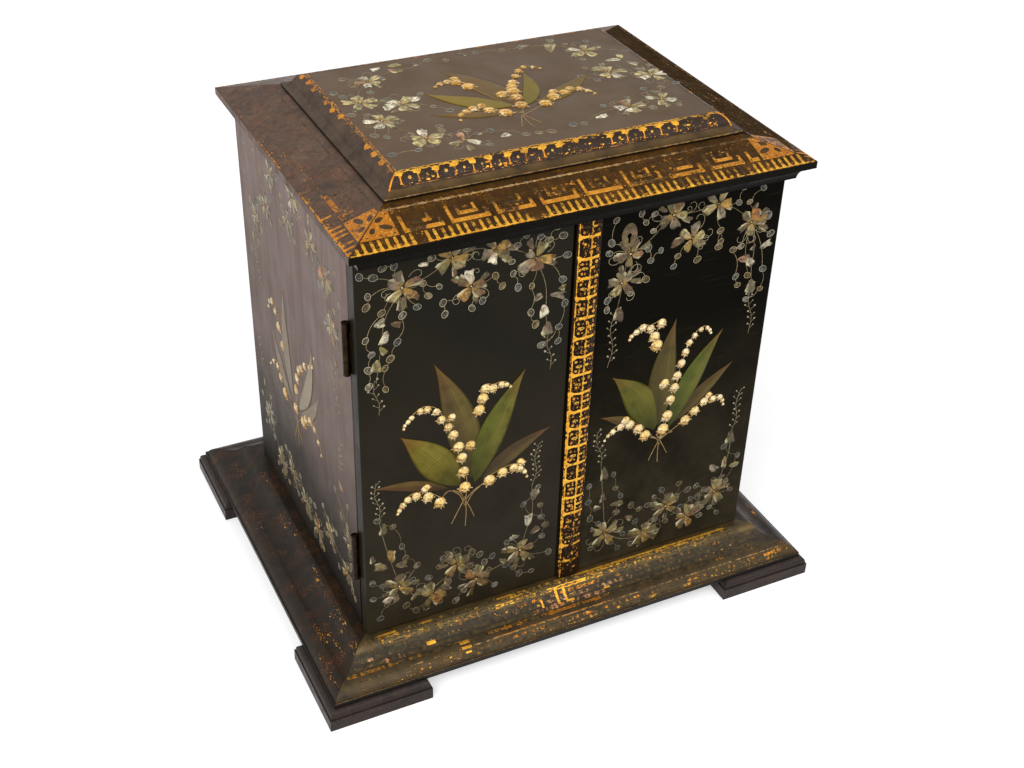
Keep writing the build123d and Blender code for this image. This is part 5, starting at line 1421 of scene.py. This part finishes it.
# The two doors are one black lacquer in two copies. The right door's is painted darker, as painted shade, and the
# left's lighter, as painted reflection, for the darker and lighter parts of the room seen in each.
door_left_lit_lacquer = black_lacquer("lacquer_door_left_lit", (20, 17, 8), (62, 52, 38), 0.08, 0.5, (30, 25, 12),
                                  (0.02, 0.22))
door_right_shaded_lacquer = black_lacquer("lacquer_door_right_shaded", (5, 4, 1), (84, 74, 55), 0.022, 0.5, (12, 10, 4),
                                   (0.03, 0.2))
strip_lacquer = black_lacquer("lacquer_astragal", (14, 8, 2), (40, 24, 10), 0.06, 0.4, (30, 15, 5))
# The lid's ground and bloom are lighter and browner than the doors' black: partly the varnish's brown cast, partly
# painted sheen, the bright room reflected in the top.
lid_lacquer_and_sheen = black_lacquer("lacquer_lid", (72, 50, 25), (98, 77, 50), 0.17, 0.55, warmth=(84, 57, 26))
inside_lacquer = black_lacquer("lacquer_inside", (22, 14, 10), (46, 36, 28), 0.2, 0.3)
case_lacquer_and_sheen = side_lacquer_and_sheen()
cornice_lacquer = worn_japan("lacquer_cornice", (68, 50, 36), (104, 78, 60), (186, 112, 52), 0.55,
                             redness=(112, 64, 40))
cornice_right_lacquer = worn_japan("lacquer_cornice_right", (60, 46, 30), (88, 70, 50), (150, 90, 40), 0.15,
                                   shine=0.0)
cornice_front_lacquer = worn_japan("lacquer_cornice_front", (54, 36, 12), (84, 56, 20), (206, 130, 38), 0.7,
                                   shine=0.05, dark_below=0.2869)
lid_rail_lacquer = worn_japan("lacquer_lid_moulding", (58, 44, 32), (92, 70, 50), (186, 116, 44), 0.2,
                              dark_below=0.2976)
lid_front_lacquer = worn_japan("lacquer_lid_moulding_front", (38, 28, 20), (64, 48, 28), (196, 130, 48), 0.2,
                               dark_below=0.2972, tone_and_sheen_tiers=LID_TONE_AND_SHEEN)
plinth_lacquer = worn_japan("lacquer_plinth", (26, 20, 12), (46, 34, 20), (176, 104, 44), 0.6, dark_below=0.0150)
plinth_front_lacquer = worn_japan("lacquer_plinth_front", (40, 32, 20), (70, 54, 28), (214, 150, 52), 0.7,
                                  shine=0.22, dark_below=0.0150, tone_and_sheen_tiers=PLINTH_TONE_AND_SHEEN)
foot_lacquer = worn_japan("lacquer_foot", (42, 34, 32), (58, 46, 42), (150, 100, 50), 0.1, redness=(74, 50, 34))
mahogany = cabinet_wood("mahogany", (128, 60, 32), (70, 28, 16), "X")
mahogany_upright = cabinet_wood("mahogany_upright", (112, 54, 30), (62, 26, 16), "Z")
cedar = cabinet_wood("cedar", (176, 116, 74), (134, 82, 50), "Y", 0.3)
brass = old_metal("brass", (182, 140, 74), (96, 72, 40))
bronze = old_metal("hinge_brass", (52, 38, 24), (20, 15, 10))
steel = old_metal("steel", (150, 146, 140), (92, 84, 76))
velvet = pile("velvet", (92, 12, 24), (150, 30, 44))
silk = woven_silk("silk", (90, 14, 28), (146, 38, 50))

finish_of = {name: finish for finish, names in (
    (door_left_lit_lacquer, "door_panel_left"), (door_right_shaded_lacquer, "door_panel_right"), (strip_lacquer, "astragal"),
    (cornice_front_lacquer, "cornice_front"), (cornice_right_lacquer, "cornice_right"),
    (cornice_lacquer, "cornice_back cornice_left"), (plinth_front_lacquer, "plinth_front"),
    (plinth_lacquer, "plinth_right plinth_back plinth_left"),
    (foot_lacquer, "foot_front_left foot_front_right foot_back_left foot_back_right"), (lid_lacquer_and_sheen, "lid_panel"),
    (lid_front_lacquer, "lid_moulding_front"),
    (lid_rail_lacquer, "lid_moulding_right lid_moulding_back lid_moulding_left lid_lining"),
    (case_lacquer_and_sheen, "case_side_left case_side_right back_panel"), (inside_lacquer, "top_rail"),
    (mahogany, "well_walls well_floor well_dividers drawer_shelves base_board"),
    (mahogany_upright, "nest_side_left nest_side_right centre_divider"), (brass, "lock_strike lock_case"),
    (bronze, "hinge_leaves_case hinge_leaves_door_left hinge_leaves_door_right hinge_leaves_lid hinge_pins"),
    (steel, "lock_bolt"), (plate_finish, "escutcheon")) for name in names.split()}
for hand in ("left", "right"):
    for row in ("bottom", "middle", "top"):
        for part, finish in (("front", mahogany), ("tray", cedar), ("knob", brass)):
            finish_of[f"drawer_{part}_{hand}_{row}"] = finish
for name, thing in nodes.items():
    if not thing.material_slots:
        thing.data.materials.append(finish_of[name])
    for slot in thing.material_slots:
        slot.material = finish_of[name]

# The decorated faces: a corner, then the ways along, down and out
HALF_CASE, DOOR_FACE, CASE_BACK, EAVES, LID_TOP = 125, -98.8, 92.2, 274.9, 305.8
decorate("left_door", Surface((-HALF_CASE, DOOR_FACE, EAVES), X, -Z, -Y), "door_left", left_flowers, left_rings,
         left_bells, left_leaves, left_stalks, left_sprigs, left_lines, (250, 230, 166), (1, 0, 119, 243),
         (left_low_flowers, left_low_rings))
decorate("right_door", Surface((-7, DOOR_FACE, EAVES), X, -Z, -Y), "door_right", right_flowers, right_rings,
         right_bells, right_leaves, right_stalks, right_sprigs, right_lines, (252, 236, 186), (19, 0, 131, 243),
         (right_low_flowers, right_low_rings))
# On the lid and the sides the rings' dark discs are lightened several times over to match the ground, so they carry the
# painted sheen of the lid's and the case's varnish.
decorate("lid", Surface((-104.4, 56.3, LID_TOP), X, -Y, Z), "lid", lid_flowers, lid_rings, lid_bells, lid_leaves,
         lid_stalks, [], lid_lines, (250, 204, 100), (14, 1, 194, 128), shade=1.55, ring_shade=0.5, disc_shade=3.4,
         line_tone=(116, 96, 66), thick=0.16)
for hand, outward in (("left", -X), ("right", X)):
    decorate(hand + "_side", Surface(outward * HALF_CASE + (0, CASE_BACK, EAVES), -Y, -Z, outward), "case",
             side_flowers, side_rings, side_bells, side_leaves, side_stalks, side_sprigs, side_lines,
             (222, 204, 166), (3, 0, 177, 243), shade=0.95, ring_shade=0.8, disc_shade=5.0,
             line_tone=(136, 120, 98), thick=0.1)

# Each moulding's rails: half the width, front, back and the level that its section is measured from
cornice = rail_surfaces(132.35, -113.9, 101.5, 275.4, cornice_section)
# Wear along each rail of the cornice: of the row of strokes at the edge, of the key, and of the painted highlight along
# the crease behind it
front_row = [
    (0, 0.4), (6, 0.34), (33, 0.36), (36, 0.64), (40, 0.64), (43, 0.37), (95, 0.39), (98, 0.62), (102, 0.62),
    (105, 0.38), (150, 0.41), (200, 0.44), (264, 0.44),
]
front_field = [
    (0, 0.37), (34, 0.4), (36, 0.6), (42, 0.62), (44, 0.39), (82, 0.41), (84, 0.6), (92, 0.6), (94, 0.41),
    (130, 0.42), (165, 0.45), (235, 0.45), (240, 0.4), (264, 0.42),
]
left_row = [
    (0, 0.8), (66, 0.8), (78, 0.63), (114, 0.55), (117, 0.8), (140, 0.8), (144, 0.6), (160, 0.56), (180, 0.48),
    (186, 0.4), (215, 0.36),
]
left_field = [(0, 0.85), (154, 0.85), (158, 0.44), (184, 0.5), (190, 0.4), (215, 0.38)]
right_row = [(0, 0.42), (14, 0.46), (24, 0.66), (40, 0.85), (215, 0.85)]
right_field = [(0, 0.4), (22, 0.44), (30, 0.7), (40, 0.85), (215, 0.85)]
back_row = [(0, 0.5), (30, 0.62), (235, 0.62), (264, 0.5)]
back_field = [(0, 0.48), (30, 0.62), (235, 0.62), (264, 0.48)]
cornice_wear = {
    "front": (front_row, front_field, [(0, 0.56), (60, 0.44), (150, 0.44), (200, 0.54), (264, 0.56)]),
    "left": (left_row, left_field, [(0, 0.6), (215, 0.6)]),
    "right": (right_row, right_field, [(0, 0.6), (215, 0.56)]),
    "back": (back_row, back_field, [(0, 0.6), (264, 0.6)]),
}
for side, (row, field, crease) in cornice_wear.items():
    front = side == "front"
    piece = Piece("gilt_cornice_" + side)
    gild_cornice(piece, cornice[side], row, field, gold_bright if front else gold_orange, crease)
    scatter_flecks(piece, cornice[side], 700 if front else 350, [1, 1, 1, 1, 3, 5] if side == "left" else [1, 1, 1],
                   [(4.2, 7, 3), (8, 31, 2)], 0.16, [gold_orange, gold_dull], 0.3)
    piece.make(gilt_front if front else gilt_side, "case", "lacquer", smooth=False)

lid_rails = rail_surfaces(103.35, -84.9, 68.9, 296.4, lid_section)
for side, wear, tone in (("front", 0.38, gold_bright), ("left", 0.42, gold_orange), ("right", 0.58, gold_orange),
                         ("back", 0.52, gold_orange)):
    piece = Piece("gilt_lid_moulding_" + side)
    gild_lid_moulding(piece, lid_rails[side], wear, tone, side == "front")
    piece.make(gilt_lid if side == "front" else gilt_side, "lid", "lacquer", smooth=False)

strip_section = np.concatenate([[(0, 0)], arc((0, 1.3), (14.75, 1.3), 1.5), [(14.75, 0)]])
strip = Surface((-3.75, DOOR_FACE, 274.7), -Z, X, -Y, strip_section, 243.8)
piece = Piece("gilt_astragal")
gild_astragal(piece, strip)
piece.make(gilt_strip, "door_right", "lacquer", smooth=False)

plinth = rail_surfaces(156.5, -127.3, 127.3, 12.2, plinth_section)
for side, count, along in (("front", 380, [2, 3, 2, 3, 4, 7, 6, 3, 2, 2]), ("left", 420, [4, 2, 1, 1, 2, 3]),
                           ("right", 400, [2, 1, 2, 2, 1, 2]), ("back", 300, [1, 1, 1])):
    piece = Piece("gilt_plinth_" + side)
    front = side == "front"
    scatter_flecks(piece, plinth[side], count, along, [(4.2, 14, 1), (14, 27, 1.2), (27.4, 33, 2)], 0.15,
                   [gold_bright, gold_orange, gold_dull] if front else [gold_orange, gold_dull], 0.26)
    if front:
        gild_plinth(piece, plinth[side])
    piece.make(gilt_plinth, "case", "plinth_lacquer", smooth=False)

LINING_BASE, LINING_CREST = 299.45, 292.45
lining = crowned_pad("lid_lining_quilted", (-89.6, -71.1), (89.6, 55.1), LINING_BASE, 6.2, silk, "lid", "silk",
                     tufts=(6, 4), down=True)
swell(lining, LINING_BASE, LINING_CREST, seam=3.4, pressure=8.0, spare=0.08, drift=2.5)
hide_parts("lid_lining")
for hand, edges in (("left", (-102.7, -10.8)), ("right", (10.8, 102.7))):
    for row, level in (("bottom", 35.3), ("middle", 120.19), ("top", 193.52)):
        crowned_pad(f"drawer_lining_{hand}_{row}", (edges[0], -68.8), (edges[1], 75.0), level, 2.2, velvet,
                    f"drawer_{hand}_{row}", "silk")
for column, left in enumerate((-91.76, -29.3, 33.16)):
    for row, near in enumerate((-73.2, -4.6)):
        crowned_pad(f"well_pad_{column + 1}_{row + 1}", (left, near), (left + 58.6, near + 65.2), 251.0, 3.0, velvet,
                    "case", "silk", rolls=6 if column == 1 else 0)

# Screws: the hinges' two heights and the places of three screws on each leaf, then the lid's hinges, lock and plate
leaf_places = [(0, level + step) for level in (83.9, 221.7) for step in (-10.5, 0, 10.5)]
for hand, x in (("left", -121.3), ("right", 121.3)):
    lay_screws("hinge_screws_door_" + hand, Surface((x, -89.8, 0), X, Z, Y), leaf_places, 1.6, 0.05, "door_" + hand,
               brass, "brass", 0.5)
    lay_screws("hinge_screws_case_" + hand, Surface((x, -89.6, 0), X, Z, -Y), leaf_places, 1.6, 0.05, "case", brass,
               "brass", 0.9)
lid_places = [(middle + step, 0) for middle in (-61.35, 61.35) for step in (-9, 0, 9)]
lock_places = [(u, v) for u in (-12, 12) for v in (-8, 8)]
screws = (
    ("hinge_screws_under_lid", (0, 65.3, 296.05), Y, Z, lid_places, 1.6, 0.05, "case", brass, "brass", 0.2),
    ("hinge_screws_lid", (0, 65.3, 296.25), Y, -Z, lid_places, 1.6, 0.05, "lid", brass, "brass", 0.7),
    ("lock_screws", (28.3, -83.8, 257.4), Z, Y, lock_places, 1.5, 0.4, "door_right", steel, "steel", 0.5),
    ("strike_screws", (28.3, -87.3, 275.4), Y, -Z, [(-8.6, 0), (8.6, 0)], 1.2, 0.05, "case", steel, "steel", 0.5),
    ("escutcheon_pins", (28.3, -99.4, 257.4), Z, -Y, [(0, -6.4), (0, 6.4)], 0.5, 0.15, "door_right", brass,
     "brass", 0.5),
)
for name, corner, way, outward, places, radius, proud, body, metal, slot, lean in screws:
    lay_screws(name, Surface(corner, X, way, outward), places, radius, proud, body, metal, slot, lean)

bpy.context.scene.view_settings.view_transform = "Standard"
